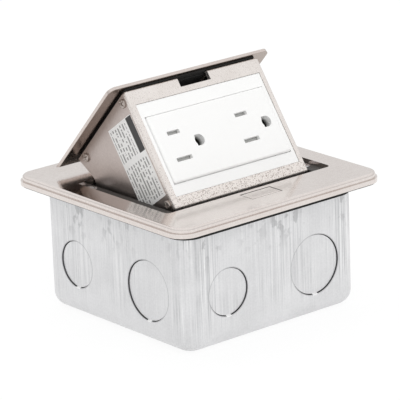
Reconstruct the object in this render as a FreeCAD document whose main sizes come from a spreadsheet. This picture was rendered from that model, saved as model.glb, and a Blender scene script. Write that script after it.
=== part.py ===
import FreeCAD, Part
import math
import os
import re
import Sketcher
from FreeCAD import Placement, Rotation, Vector

# Pop-up floor socket box, millimetres. The part stands in the pose with the socket raised:
# X runs along the socket face, +Y is the hinge side, Z is up, and the origin is the centre
# of the steel box's underside. The raised pieces are drawn as they lie when the lid is shut
# ("shut" frame), or square to the socket face ("face" frame), and are placed from there.

SIZES = {
    # steel floor box
    "box_width": 101.6, "box_height": 53.2, "box_wall": 1.6, "box_corner": 9, "box_base_round": 7,
    "small_knockout": 22.2, "large_knockout": 28.2, "small_knockout_shift": 26.8,
    "large_knockout_shift": 24.2, "knockout_rise": 24.8, "knockout_sink": 0.6,
    "knockout_slit": 0.3, "knockout_tab": 4, "base_knockout_shift": 21, "nail_hole": 5,
    "nail_hole_shift": 38, "ear_width": 12, "ear_gap": 1.8, "ground_screw_size": 3.8,
    # screws from the frame down to the ears of the box
    "box_screw_across": 44.6, "box_screw_along": 22, "box_screw_size": 4, "box_screw_head": 6,
    "box_screw_reach": 14,
    # gasket, flange and the cast frame under it
    "gasket_height": 5, "gasket_lip": 0.6, "gasket_margin": 0.8, "gasket_band": 1.9,
    "flange_width": 120, "flange_corner": 9, "flange_height": 4.5, "flange_sheet": 1.9,
    "flange_step": 0.9, "flange_step_height": 2, "flange_skirt": 2.5, "flange_edge_round": 1.2,
    "opening_width": 96.2, "opening_front": 36.6, "opening_back": 26.3, "opening_corner": 2.5,
    "frame_margin": 2, "frame_throat": 82.4, "frame_back_clearance": 2.2, "frame_corner": 6,
    "cheek_thick": 3, "cheek_width": 13, "cheek_foot": 5.6, "cheek_clearance": 0.4,
    "flange_screw_size": 3,
    # hinge
    "hinge_y": 39.1, "hinge_drop": 19.7, "open_angle": 47.3, "shaft_size": 4, "shaft_fit": 0.05,
    "shaft_head": 6, "shaft_head_thick": 1, "clip_size": 7.4, "clip_thick": 0.8,
    "spring_wire": 1.2, "spring_coil_gap": 0.3, "spring_turns": 4.69, "spring_inset": 4,
    # lid
    "lid_thick": 1.6, "lid_side_gap": 1.5, "lid_front_gap": 0.8, "lid_back_gap": 0.5,
    "lid_bevel": 2.4, "lid_corner": 3.5, "seal_thick": 1.2, "seal_inset": 1.4, "seal_front": 0.6,
    "seal_gap": 0.1, "stud_size": 3, "stud_across": 26, "stud_front": 20, "stud_back": 8,
    "nut_across": 5.5, "nut_thick": 2.4,
    # raised module: side plates, bracket, rear cover
    "module_width": 78, "plate_thick": 1.2, "face_front": 34.6, "face_height": 57.8,
    "face_lean": 12, "module_back": 18.2, "arm_top": 43.6, "arm_bottom": 35, "arm_eye": 4.6,
    "bracket_thick": 1.2, "bracket_drop": 9, "bracket_gap": 0.05, "cover_thick": 1.6,
    "cable_hole_width": 30, "cable_hole_height": 12, "cable_hole_rise": 10,
    "side_screw_size": 2.5, "side_screw_head": 4.2, "side_screw_head_thick": 1,
    "side_screw_depth": 4.4, "side_screw_low": 3.9, "side_screw_top_gap": 4.1,
    "rear_screw_depth": 45.4, "rear_screw_top_gap": 12.8,
    # socket face
    "bezel_thick": 2, "bezel_top": 7.2, "bezel_bottom": 5.4, "bezel_side": 2.8, "bezel_round": 1,
    "bezel_flange": 7, "bezel_flange_low": 2.1, "bezel_flange_gap": 0.1,
    "notch_width": 17.5, "notch_depth": 4.5, "notch_relief": 9,
    "wall_plate_fit": 0.15, "wall_plate_sink": 0.2, "wall_plate_lip": 1.5,
    "insert_width": 68.3, "insert_margin": 6.3, "insert_drop": 0.5, "insert_proud": 0.8,
    "insert_fit": 0.2, "insert_round": 1, "insert_wall": 2,
    "outlet_spacing": 39.3, "blade_shift": 4.1, "blade_spacing": 12.7, "ground_shift": 12,
    "hot_slot": 7, "neutral_slot": 8.8, "slot_gap": 1.9, "ground_hole": 5.2,
    "strap_thick": 1.2, "strap_depth": 7, "strap_width": 70, "strap_end": 5.7,
    "strap_screw_across": 28, "strap_screw_out": 3, "strap_screw_size": 3, "post_size": 5.4,
    "socket_body_width": 65, "socket_body_inset": 1.3, "socket_body_depth": 19,
    "channel_width": 4.4, "contact_leaf": 0.7, "contact_gap": 1.3,
    "contact_height": 11, "contact_clip": 9, "tube_size": 6.2, "tube_length": 10,
    "terminal_size": 3.6, "terminal_head": 7.4, "terminal_head_thick": 1.8, "terminal_across": 20,
    "shutter_thick": 1.2, "shutter_travel": 2.8, "shutter_gap": 0.3, "shutter_width": 10.6,
    "leaf_thick": 0.3, "sticker_thick": 0.15,
    # latch in the front band of the flange
    "button_width": 17.4, "button_depth": 8.6, "button_fit": 0.2, "button_centre": 43.6,
    "button_cap": 2, "button_travel": 2, "button_wing": 2.2, "cam_thick": 3.2, "cam_width": 6.8,
    "cam_fit": 0.15, "bolt_width": 14, "bolt_thick": 1.9, "bolt_clearance": 0.3, "bolt_lead": 1.04,
    "bolt_back": 46.2, "housing_wall": 3.4, "housing_depth": 12, "housing_floor": 1.5,
    "latch_spring_size": 4, "latch_wire": 0.6, "housing_screw_size": 2.5,
    # small clearances and fixings shared by several pieces
    "screw_play": 0.1, "shaft_play": 0.2, "clip_bore": 3.2, "clip_play": 0.05, "rib_thick": 1.2,
    "rib_drop": 3.6, "ground_x": 24, "ground_y": 28, "flange_screw_back_x": 12,
    "flange_screw_back_y": 44.5, "flange_screw_front_x": 30, "flange_screw_front_y": 42.5,
    "flange_screw_bite": 1.4, "flange_screw_head": 5.4, "flange_screw_head_thick": 1.8,
    "spring_play": 0.5, "spring_start": 252, "spring_frame_leg": 14, "spring_cover_leg": 23.3,
    "cam_centre": 42, "cam_post": 3, "button_round": 0.4, "button_wing_gap": 0.5,
    "button_wing_reach": 1.4, "wing_height": 2.9, "wing_depth": 3.8, "bolt_nose": 0.6,
    "housing_back": 48.7, "housing_front": 37.2, "housing_round": 1, "housing_lug": 6,
    "housing_lug_thick": 3, "housing_screw_x": 14.6, "housing_screw_y": 42, "housing_well_back": 44.8,
    "housing_well_front": 38.4, "latch_turns": 3, "stud_end": 0.6, "bracket_front": 3.2,
    "bracket_wing": 6, "side_screw_reach": 2.4, "arm_root": 3, "plate_corner": 3,
    "wall_plate_margin": 2.6, "strap_screw_bite": 2.6, "strap_screw_head": 5.2, "ground_flat": 0.5,
    "contact_reach": 29.5, "contact_play": 0.15, "strap_relief": 1, "strap_corner": 2,
    "ground_terminal_head": 6.4, "socket_body_round": 1.5, "terminal_reach": 5,
    "shutter_margin": 3.4, "leaf_span": 3.6, "label_low": 8.2, "label_top_gap": 9.8, "label_front": 2.8,
    "label_back": 22.4,
}

# Sizes that follow from the ones above.
TOP = SIZES["box_height"] + SIZES["gasket_height"] + SIZES["flange_height"]
WINDOW = SIZES["face_height"] - SIZES["bezel_top"] - SIZES["bezel_bottom"]
SIZES["hinge_z"] = TOP - SIZES["hinge_drop"]
SIZES["spring_pitch"] = SIZES["spring_wire"] + SIZES["spring_coil_gap"]
SIZES["side_screw_high"] = SIZES["face_height"] - SIZES["side_screw_top_gap"]
SIZES["rear_screw_rise"] = SIZES["face_height"] - SIZES["rear_screw_top_gap"]
SIZES["insert_centre"] = SIZES["bezel_bottom"] + WINDOW / 2 - SIZES["insert_drop"]
SIZES["insert_height"] = WINDOW - 2 * SIZES["insert_margin"]
SIZES["strap_height"] = SIZES["insert_height"] + 2 * SIZES["strap_end"]
SIZES["strap_screw_rise"] = SIZES["insert_height"] / 2 + SIZES["strap_screw_out"]
SIZES["socket_body_height"] = SIZES["insert_height"] - 2 * SIZES["socket_body_inset"]
SIZES["label_high"] = SIZES["face_height"] - SIZES["label_top_gap"]

# Levels and places worked out from the sizes.
FLANGE_BOTTOM = "(box_height + gasket_height)"
FLANGE_TOP = f"({FLANGE_BOTTOM} + flange_height)"
SHEET_UNDER = f"({FLANGE_TOP} - flange_sheet)"
LID_UNDER = f"({FLANGE_TOP} - lid_thick)"
MODULE_TOP = f"({LID_UNDER} - seal_thick)"
FACE_Y = "(face_height * sin(face_lean) - face_front)"
FACE_Z = f"({MODULE_TOP} - face_height * cos(face_lean))"
PLATE_INNER = "(module_width / 2 - plate_thick)"
LINER = f"({PLATE_INNER} - bracket_gap)"
CHEEK_INNER = "(module_width / 2 + cheek_clearance)"
CHEEK_OUTER = f"({CHEEK_INNER} + cheek_thick)"
BOLT_TOP = f"({FLANGE_BOTTOM} - bolt_clearance)"
BOLT_UNDER = f"({BOLT_TOP} - bolt_thick)"

DOC = FreeCAD.newDocument("FloorSocketBox")
SHEET = DOC.addObject("Spreadsheet::Sheet", "Sizes")
for row, (alias, value) in enumerate(SIZES.items(), start=1):
    SHEET.set(f"A{row}", alias)
    SHEET.set(f"B{row}", str(value))
    SHEET.setAlias(f"B{row}", alias)
DOC.recompute()

NODES = []


def cells(text):
    """Return an expression with each size's name turned into its spreadsheet cell."""
    return re.sub(r"[a-z_]+", lambda word: f"Sizes.{word[0]}" if word[0] in SIZES else word[0], str(text))


def bind(item, prop, text):
    item.setExpression(prop, cells(text))


def shut_y(y, z):
    """Where a point of the shut frame lies along Y once the module is raised."""
    return f"(hinge_y + ({y} - hinge_y) * cos(open_angle) + ({z} - hinge_z) * sin(open_angle))"


def shut_z(y, z):
    return f"(hinge_z - ({y} - hinge_y) * sin(open_angle) + ({z} - hinge_z) * cos(open_angle))"


def place(item, frame):
    """Bind an item's placement to the fixed, shut or face frame."""
    if frame == "shut":
        item.Placement = Placement(Vector(0, 0, 0), Rotation(Vector(-1, 0, 0), SIZES["open_angle"]))
        bind(item, "Placement.Rotation.Angle", "open_angle")
        bind(item, "Placement.Base.y", shut_y("0", "0"))
        bind(item, "Placement.Base.z", shut_z("0", "0"))
    elif frame == "face":
        angle = 90 + SIZES["face_lean"] - SIZES["open_angle"]
        item.Placement = Placement(Vector(0, 0, 0), Rotation(Vector(1, 0, 0), angle))
        bind(item, "Placement.Rotation.Angle", "90 + face_lean - open_angle")
        bind(item, "Placement.Base.y", shut_y(FACE_Y, FACE_Z))
        bind(item, "Placement.Base.z", shut_z(FACE_Y, FACE_Z))


def node(item, label, frame="fixed"):
    """Name a finished sub-part and keep it for the export."""
    item.Label = label
    place(item, frame)
    NODES.append(item)
    return item


def body(label, frame="fixed"):
    return node(DOC.addObject("PartDesign::Body", label), label, frame)


def sketch(owner, role, offset="0"):
    item = owner.newObject("Sketcher::SketchObject", "Profile")
    plane = next(feature for feature in owner.Origin.OriginFeatures if feature.Role == role)
    item.AttachmentSupport = (plane, [""])
    item.MapMode = "FlatFace"
    bind(item, "AttachmentOffset.Base.z", offset)
    return item


def fix(item, kind, geometry, point, text, start):
    index = item.addConstraint(Sketcher.Constraint(kind, -1, 1, geometry, point, start))
    bind(item, f"Constraints[{index}]", text)


def polygon(item, points):
    """Add a closed outline whose corners are bound to expressions."""
    first = item.GeometryCount
    count = len(points)
    rough = [(first + number, number * number + 1) for number in range(count)]
    for number in range(count):
        begin, end = rough[number], rough[(number + 1) % count]
        item.addGeometry(Part.LineSegment(Vector(*begin, 0), Vector(*end, 0)), False)
    for number, (x, y) in enumerate(points):
        following = first + (number + 1) % count
        item.addConstraint(Sketcher.Constraint("Coincident", first + number, 2, following, 1))
        fix(item, "DistanceX", first + number, 1, x, rough[number][0])
        fix(item, "DistanceY", first + number, 1, y, rough[number][1])


def box_points(left, low, right, high):
    return [(left, low), (right, low), (right, high), (left, high)]


def rectangle(item, left, low, right, high):
    polygon(item, box_points(left, low, right, high))


def circle(item, x, y, radius):
    index = item.GeometryCount
    item.addGeometry(Part.Circle(Vector(index + 1, 1, 0), Vector(0, 0, 1), 0.5), False)
    fix(item, "DistanceX", index, 3, x, index + 1)
    fix(item, "DistanceY", index, 3, y, 1)
    size = item.addConstraint(Sketcher.Constraint("Radius", index, 0.5))
    bind(item, f"Constraints[{size}]", radius)


def pad(owner, profile, length, both=False, back=False):
    feature = owner.newObject("PartDesign::Pad", "Pad")
    feature.Profile = profile
    feature.SideType = "Symmetric" if both else "One side"
    feature.Reversed = back
    bind(feature, "Length", length)
    DOC.recompute()
    return feature


def pocket(owner, profile, length, both=False, back=False):
    """Cut a profile out, and refuse a cut that takes nothing away."""
    before = owner.Shape.Volume
    feature = owner.newObject("PartDesign::Pocket", "Pocket")
    feature.Profile = profile
    feature.SideType = "Symmetric" if both else "One side"
    feature.Reversed = back
    bind(feature, "Length", length)
    DOC.recompute()
    if not owner.Shape.Volume < before - 1e-3:
        raise ValueError(f"{owner.Label}: a pocket cuts nothing")
    return feature


def along(edge, axis):
    """True for a straight edge that runs along the axis."""
    if edge.Curve.TypeId != "Part::GeomLine":
        return False
    return abs(abs(edge.tangentAt(edge.FirstParameter).dot(axis)) - 1) < 1e-6


def edge_names(shape, test):
    return [f"Edge{number}" for number, edge in enumerate(shape.Edges, start=1) if test(edge)]


def fillet(owner, test, radius):
    """Round the edges of the body's last feature that pass the test."""
    base = owner.Tip
    names = edge_names(base.Shape, test)
    if not names:
        raise ValueError(f"{owner.Label}: no edge to round")
    feature = owner.newObject("PartDesign::Fillet", "Fillet")
    feature.Base = (base, names)
    bind(feature, "Radius", radius)
    DOC.recompute()
    return feature


def polar(owner, features, count):
    pattern = owner.newObject("PartDesign::PolarPattern", "Pattern")
    pattern.Originals = features
    axis = next(feature for feature in owner.Origin.OriginFeatures if feature.Role == "Z_Axis")
    pattern.Axis = (axis, [""])
    pattern.Angle = 360
    pattern.Occurrences = count
    owner.Tip = pattern
    DOC.recompute()
    return pattern


def cylinder(radius, height, base, turn=None):
    """Part cylinder whose size and base point are bound; turn leans it off the Z axis."""
    item = DOC.addObject("Part::Cylinder", "Cylinder")
    if turn:
        item.Placement = Placement(Vector(0, 0, 0), turn)
    bind(item, "Radius", radius)
    bind(item, "Height", height)
    for axis, text in zip("xyz", base):
        bind(item, f"Placement.Base.{axis}", text)
    return item


def cone(low, high, height, base):
    item = DOC.addObject("Part::Cone", "Cone")
    bind(item, "Radius1", low)
    bind(item, "Radius2", high)
    bind(item, "Height", height)
    for axis, text in zip("xyz", base):
        bind(item, f"Placement.Base.{axis}", text)
    return item


def fuse(items):
    item = DOC.addObject("Part::MultiFuse", "Fuse")
    item.Shapes = items
    DOC.recompute()
    return item


def group(items, label, frame="fixed"):
    """Put identical fasteners in one node, each as its own solid."""
    item = DOC.addObject("Part::Compound", label)
    item.Links = items
    DOC.recompute()
    return node(item, label, frame)


def shifted(base, step, axis):
    """Base point moved along one axis by an expression."""
    return tuple(f"({text}) + ({step})" if name == axis else text for name, text in zip("xyz", base))


TURNS = {"z": None, "x": Rotation(Vector(0, 1, 0), 90), "y": Rotation(Vector(-1, 0, 0), 90)}


def pan_screw(seat, head, head_thick, shank, reach, axis="z", side="1"):
    """Pan-head screw: its head stands on the seat, on the side of the axis given."""
    head_start = "0" if side == "1" else f"-{head_thick}"
    shank_start = f"-{reach}" if side == "1" else "0"
    parts = [
        cylinder(f"{head} / 2", head_thick, shifted(seat, head_start, axis), TURNS[axis]),
        cylinder(f"{shank} / 2", reach, shifted(seat, shank_start, axis), TURNS[axis]),
    ]
    return fuse(parts)


X_AXIS, Z_AXIS = Vector(1, 0, 0), Vector(0, 0, 1)


def at_corner(edge, half_x, half_y):
    """True for an edge along Z at one of the four corners of a centred rectangle."""
    point = edge.CenterOfMass
    return along(edge, Z_AXIS) and abs(abs(point.x) - half_x) < 0.01 and abs(abs(point.y) - half_y) < 0.01


def at_front(edge, front):
    """True for an edge along Z that stands at the front line given."""
    return along(edge, Z_AXIS) and abs(edge.CenterOfMass.y - front) < 0.01


def at_level(edge, level):
    return abs(edge.BoundBox.ZMin - level) < 0.01 and abs(edge.BoundBox.ZMax - level) < 0.01


# Fixed pieces: box, gasket, flange, frame and hinge shaft.

def knockout(box, role, x, y, size, face, outward):
    """A punched slug: a hole, a sunk disc and the tab that still holds it."""
    hole = sketch(box, role, face)
    circle(hole, x, y, f"{size} / 2")
    cut = pocket(box, hole, "box_wall", back=not outward)
    sunk = f"{face} - knockout_sink" if outward else f"{face} + knockout_sink"
    tab = sketch(box, role, sunk)
    rectangle(tab, f"{x} - knockout_tab / 2", f"{y} - {size} / 2 - 2 * knockout_slit",
              f"{x} + knockout_tab / 2", f"{y} - {size} / 4")
    bridge = pad(box, tab, "box_wall", back=outward)
    disc = sketch(box, role, sunk)
    circle(disc, x, y, f"{size} / 2 - knockout_slit")
    slug = pad(box, disc, "box_wall", back=outward)
    return [cut, bridge, slug]


def build_box():
    box = body("junction_box")
    half = "box_width / 2"
    outline = sketch(box, "XY_Plane")
    rectangle(outline, f"-{half}", f"-{half}", half, half)
    pad(box, outline, "box_height")
    inner = "(box_width / 2 - box_wall)"
    cavity = sketch(box, "XY_Plane", "box_height")
    rectangle(cavity, f"-{inner}", f"-{inner}", inner, inner)
    pocket(box, cavity, "box_height - box_wall")
    inside, outside = SIZES["box_width"] / 2 - SIZES["box_wall"], SIZES["box_width"] / 2
    fillet(box, lambda edge: at_corner(edge, inside, inside), "box_corner - box_wall")
    fillet(box, lambda edge: at_level(edge, SIZES["box_wall"]), "box_base_round - box_wall")
    fillet(box, lambda edge: at_corner(edge, outside, outside), "box_corner")
    fillet(box, lambda edge: at_level(edge, 0), "box_base_round")
    slugs = knockout(box, "XZ_Plane", "-small_knockout_shift", "knockout_rise", "small_knockout", half, True)
    slugs += knockout(box, "XZ_Plane", "large_knockout_shift", "knockout_rise", "large_knockout", half, True)
    polar(box, slugs, 4)
    polar(box, knockout(box, "XY_Plane", "base_knockout_shift", "0", "small_knockout", "0", False), 2)
    nail = sketch(box, "XY_Plane")
    circle(nail, "nail_hole_shift", "nail_hole_shift / 2", "nail_hole / 2")
    polar(box, [pocket(box, nail, "box_wall", back=True)], 2)
    post = sketch(box, "XY_Plane")
    circle(post, "ground_x", "ground_y", "ground_screw_size / 2 + screw_play")
    pocket(box, post, "box_wall", back=True)
    ear = sketch(box, "XY_Plane", "box_height - box_wall")
    rectangle(ear, "module_width / 2 + ear_gap", "-box_screw_along - ear_width / 2",
              "box_width / 2 - box_wall / 2", "-box_screw_along + ear_width / 2")
    flap = pad(box, ear, "box_wall")
    tap = sketch(box, "XY_Plane", "box_height")
    circle(tap, "box_screw_across", "-box_screw_along", "box_screw_size / 2 + screw_play")
    polar(box, [flap, pocket(box, tap, "2 * box_wall")], 2)
    seat = ("ground_x", "ground_y", "box_wall")
    screw = pan_screw(seat, "terminal_head", "terminal_head_thick", "ground_screw_size", "box_wall")
    node(screw, "ground_screw")


def build_gasket():
    gasket = body("gasket")
    ring = sketch(gasket, "XY_Plane", "box_height")
    rectangle(ring, "-box_width / 2", "-box_width / 2", "box_width / 2", "box_width / 2")
    pad(gasket, ring, "gasket_height")
    half = "(flange_width / 2 - gasket_margin)"
    lip = sketch(gasket, "XY_Plane", f"{FLANGE_BOTTOM} - gasket_lip")
    rectangle(lip, f"-{half}", f"-{half}", half, half)
    pad(gasket, lip, "gasket_lip")
    inner = "(box_width / 2 - gasket_band)"
    hole = sketch(gasket, "XY_Plane", FLANGE_BOTTOM)
    rectangle(hole, f"-{inner}", f"-{inner}", inner, inner)
    pocket(gasket, hole, "gasket_height")
    rounds = [
        (SIZES["box_width"] / 2 - SIZES["gasket_band"], "box_corner - gasket_band"),
        (SIZES["box_width"] / 2, "box_corner"),
        (SIZES["flange_width"] / 2 - SIZES["gasket_margin"], "flange_corner - gasket_margin"),
    ]
    for corner, radius in rounds:
        fillet(gasket, lambda edge: at_corner(edge, corner, corner), radius)


def button_hole(owner, level, margin_x, margin_y, depth):
    hole = sketch(owner, "XY_Plane", level)
    half_x, half_y = f"(button_width / 2 + {margin_x})", f"(button_depth / 2 + {margin_y})"
    rectangle(hole, f"-{half_x}", f"-button_centre - {half_y}", half_x, f"-button_centre + {half_y}")
    pocket(owner, hole, depth)


FLANGE_SCREWS = [
    ("flange_screw_back_x", "flange_screw_back_y"), ("-flange_screw_back_x", "flange_screw_back_y"),
    ("flange_screw_front_x", "-flange_screw_front_y"), ("-flange_screw_front_x", "-flange_screw_front_y"),
]


def build_flange():
    flange = body("flange_plate")
    lower = sketch(flange, "XY_Plane", FLANGE_BOTTOM)
    rectangle(lower, "-flange_width / 2", "-flange_width / 2", "flange_width / 2", "flange_width / 2")
    pad(flange, lower, "flange_step_height")
    half = "(flange_width / 2 - flange_step)"
    upper = sketch(flange, "XY_Plane", FLANGE_BOTTOM)
    rectangle(upper, f"-{half}", f"-{half}", half, half)
    pad(flange, upper, "flange_height")
    inner = "(flange_width / 2 - flange_skirt)"
    cavity = sketch(flange, "XY_Plane", FLANGE_BOTTOM)
    rectangle(cavity, f"-{inner}", f"-{inner}", inner, inner)
    pocket(flange, cavity, "flange_height - flange_sheet", back=True)
    full = SIZES["flange_width"] / 2
    inside, stepped = full - SIZES["flange_skirt"], full - SIZES["flange_step"]
    fillet(flange, lambda edge: at_corner(edge, inside, inside), "frame_corner")
    fillet(flange, lambda edge: at_corner(edge, full, full), "flange_corner")
    fillet(flange, lambda edge: at_corner(edge, stepped, stepped), "flange_corner - flange_step")
    fillet(flange, lambda edge: at_level(edge, TOP), "flange_edge_round")
    opening = sketch(flange, "XY_Plane", FLANGE_TOP)
    rectangle(opening, "-opening_width / 2", "-opening_front", "opening_width / 2", "opening_back")
    pocket(flange, opening, "flange_sheet")
    fillet(flange, lambda edge: at_front(edge, -SIZES["opening_front"]), "opening_corner")
    button_hole(flange, FLANGE_TOP, "0", "0", "flange_sheet")
    taps = sketch(flange, "XY_Plane", SHEET_UNDER)
    for x, y in FLANGE_SCREWS:
        circle(taps, x, y, "flange_screw_size / 2 + screw_play")
    pocket(flange, taps, "flange_screw_bite", back=True)


def build_frame():
    frame = body("mounting_frame")
    half = "(flange_width / 2 - flange_skirt - frame_margin)"
    plate = sketch(frame, "XY_Plane", FLANGE_BOTTOM)
    rectangle(plate, f"-{half}", f"-{half}", half, half)
    pad(frame, plate, "flange_height - flange_sheet")
    fillet(frame, lambda edge: along(edge, Z_AXIS), "frame_corner")
    ribs = sketch(frame, "XY_Plane", FLANGE_BOTTOM)
    for side in ("-", ""):
        rectangle(ribs, f"{side}frame_throat / 2", "-opening_front",
                  f"{side}(frame_throat / 2 + rib_thick)", "opening_back")
    pad(frame, ribs, "rib_drop", back=True)
    throat = sketch(frame, "XY_Plane", SHEET_UNDER)
    rectangle(throat, "-frame_throat / 2", "-opening_front", "frame_throat / 2",
              "opening_back + frame_back_clearance")
    pocket(frame, throat, "flange_height - flange_sheet")
    for side in (-1, 1):
        cheek = sketch(frame, "YZ_Plane", CHEEK_INNER if side > 0 else f"-{CHEEK_INNER}")
        rectangle(cheek, "hinge_y - cheek_width / 2", "hinge_z - cheek_foot",
                  "hinge_y + cheek_width / 2", f"{FLANGE_BOTTOM} + flange_sheet / 2")
        pad(frame, cheek, "cheek_thick", back=side < 0)
    foot = SIZES["hinge_z"] - SIZES["cheek_foot"]
    fillet(frame, lambda edge: along(edge, X_AXIS) and abs(edge.CenterOfMass.z - foot) < 0.01, "cheek_foot")
    eyes = sketch(frame, "YZ_Plane")
    circle(eyes, "hinge_y", "hinge_z", "shaft_size / 2 + shaft_fit")
    pocket(frame, eyes, f"2 * {CHEEK_OUTER} + 1", both=True)
    button_hole(frame, SHEET_UNDER, "button_wing_gap + button_wing / 2", "button_fit", "flange_height")
    holes = sketch(frame, "XY_Plane", SHEET_UNDER)
    for x, y in FLANGE_SCREWS:
        circle(holes, x, y, "flange_screw_size / 2 + screw_play")
    circle(holes, "housing_screw_x", "-housing_screw_y", "housing_screw_size / 2 + screw_play")
    circle(holes, "-housing_screw_x", "-housing_screw_y", "housing_screw_size / 2 + screw_play")
    circle(holes, "box_screw_across", "-box_screw_along", "box_screw_size / 2 + screw_play")
    circle(holes, "-box_screw_across", "box_screw_along", "box_screw_size / 2 + screw_play")
    pocket(frame, holes, "flange_height")
    level, across = TOP - SIZES["flange_sheet"], SIZES["box_screw_across"]

    def rim(edge):
        round_edge = edge.Curve.TypeId == "Part::GeomCircle" and at_level(edge, level)
        return round_edge and abs(abs(edge.CenterOfMass.x) - across) < 0.01

    holed = frame.Tip
    chamfer = frame.newObject("PartDesign::Chamfer", "Countersink")
    chamfer.Base = (holed, edge_names(holed.Shape, rim))
    bind(chamfer, "Size", "(box_screw_head - box_screw_size) / 2")
    DOC.recompute()


def build_fixed_screws():
    box_screws = []
    for side in ("", "-"):
        x, y = f"{side}box_screw_across", f"{'-' if side == '' else ''}box_screw_along"
        rise = "(box_screw_head - box_screw_size) / 2"
        head = cone("box_screw_size / 2", "box_screw_head / 2", rise, (x, y, f"{SHEET_UNDER} - {rise}"))
        shank = cylinder("box_screw_size / 2", f"box_screw_reach - {rise}",
                         (x, y, f"{SHEET_UNDER} - box_screw_reach"))
        box_screws.append(fuse([head, shank]))
    group(box_screws, "frame_screws")
    flange_screws = [
        pan_screw((x, y, FLANGE_BOTTOM), "flange_screw_head", "flange_screw_head_thick", "flange_screw_size",
                  "(flange_height - flange_sheet + flange_screw_bite - screw_play)", side="-1")
        for x, y in FLANGE_SCREWS
    ]
    group(flange_screws, "flange_screws")


def build_shaft():
    base = ("0", "hinge_y", "hinge_z")
    turn = TURNS["x"]
    head_at = f"{CHEEK_OUTER} + shaft_play"
    groove_at = f"-{CHEEK_OUTER} - shaft_play - clip_thick"
    parts = [
        cylinder("shaft_size / 2", f"2 * ({CHEEK_OUTER} + shaft_play)",
                 shifted(base, f"-{CHEEK_OUTER} - shaft_play", "x"), turn),
        cylinder("shaft_head / 2", "shaft_head_thick", shifted(base, head_at, "x"), turn),
        cylinder("clip_bore / 2", "clip_thick", shifted(base, groove_at, "x"), turn),
        cylinder("shaft_size / 2", "clip_thick", shifted(base, f"{groove_at} - clip_thick", "x"), turn),
    ]
    node(fuse(parts), "hinge_shaft")
    clip_base = shifted(base, f"{groove_at} + clip_play", "x")
    disc = cylinder("clip_size / 2", "clip_thick - 2 * clip_play", clip_base, turn)
    bore = cylinder("clip_bore / 2 + clip_play", "clip_thick", clip_base, turn)
    mouth = DOC.addObject("Part::Box", "Mouth")
    bind(mouth, "Length", "clip_thick")
    bind(mouth, "Width", "clip_bore")
    bind(mouth, "Height", "clip_size")
    bind(mouth, "Placement.Base.x", clip_base[0])
    bind(mouth, "Placement.Base.y", "hinge_y - clip_bore / 2")
    bind(mouth, "Placement.Base.z", "hinge_z - clip_size")
    clip = DOC.addObject("Part::Cut", "Clip")
    clip.Base = disc
    clip.Tool = fuse([bore, mouth])
    DOC.recompute()
    node(clip, "shaft_clip")


# A spring's wire has flat sides, so that its coils mesh with few facets.
WIRE_SIDES = 8


def wire_shape(path, radius):
    """A wire of many flats swept along a path whose first edge starts at its first vertex."""
    start = path.Edges[0]
    tangent = start.tangentAt(start.FirstParameter)
    ring = Part.Circle(start.valueAt(start.FirstParameter), tangent, radius)
    corners = [ring.value(2 * math.pi * number / WIRE_SIDES) for number in range(WIRE_SIDES + 1)]
    return path.makePipeShell([Part.makePolygon(corners)], True, True)


def coil(label, radius, pitch, turns, wire, legs, spot):
    """Helical spring about its own Z axis, with straight legs off both ends, put in place by spot."""
    helix = Part.makeHelix(pitch, pitch * turns, radius)
    edge = helix.Edges[0]
    begin, end = edge.valueAt(edge.FirstParameter), edge.valueAt(edge.LastParameter)
    out, on = edge.tangentAt(edge.FirstParameter), edge.tangentAt(edge.LastParameter)
    edges = [Part.makeLine(begin - out * legs[0], begin)] if legs[0] else []
    edges.append(edge)
    if legs[1]:
        edges.append(Part.makeLine(end, end + on * legs[1]))
    item = DOC.addObject("Part::Feature", label)
    item.Shape = wire_shape(Part.Wire(edges), wire / 2)
    item.Placement = spot
    return item


def build_torsion_springs():
    """Two torsion springs round the shaft: one leg under the frame, the other on the rear cover."""
    size = SIZES
    radius = size["shaft_size"] / 2 + size["spring_play"] + size["spring_wire"] / 2
    length = size["spring_pitch"] * size["spring_turns"]
    outer = size["module_width"] / 2 - size["plate_thick"] - size["spring_inset"]
    lean = size["spring_start"]
    frame_turn = Rotation(Vector(0, 1, 0), 90)
    for side, label in ((-1, "torsion_spring_left"), (1, "torsion_spring_right")):
        turn = Rotation(Vector(1, 0, 0), lean) * frame_turn
        spot = Placement(Vector(outer - length, size["hinge_y"], size["hinge_z"]), turn)
        legs = (size["spring_frame_leg"], size["spring_cover_leg"])
        item = coil(label, radius, size["spring_pitch"], size["spring_turns"], size["spring_wire"],
                    legs, spot)
        if side < 0:
            shape = item.Shape.mirror(Vector(0, 0, 0), Vector(1, 0, 0))
            item.Placement = Placement()
            item.Shape = shape
        item.Label = label
        NODES.append(item)


# Latch in the flange's front band.

BOLT_TIP = f"({shut_y(FACE_Y, FACE_Z)} - bolt_lead)"
CAM_LEVEL = f"({BOLT_UNDER} + bolt_thick / 2)"


def cam_y(z, shift="0"):
    """Where the cam's 45 degree centre line lies along Y at a height."""
    return f"(-cam_centre - ({z} - {CAM_LEVEL}) + {shift})"


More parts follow.
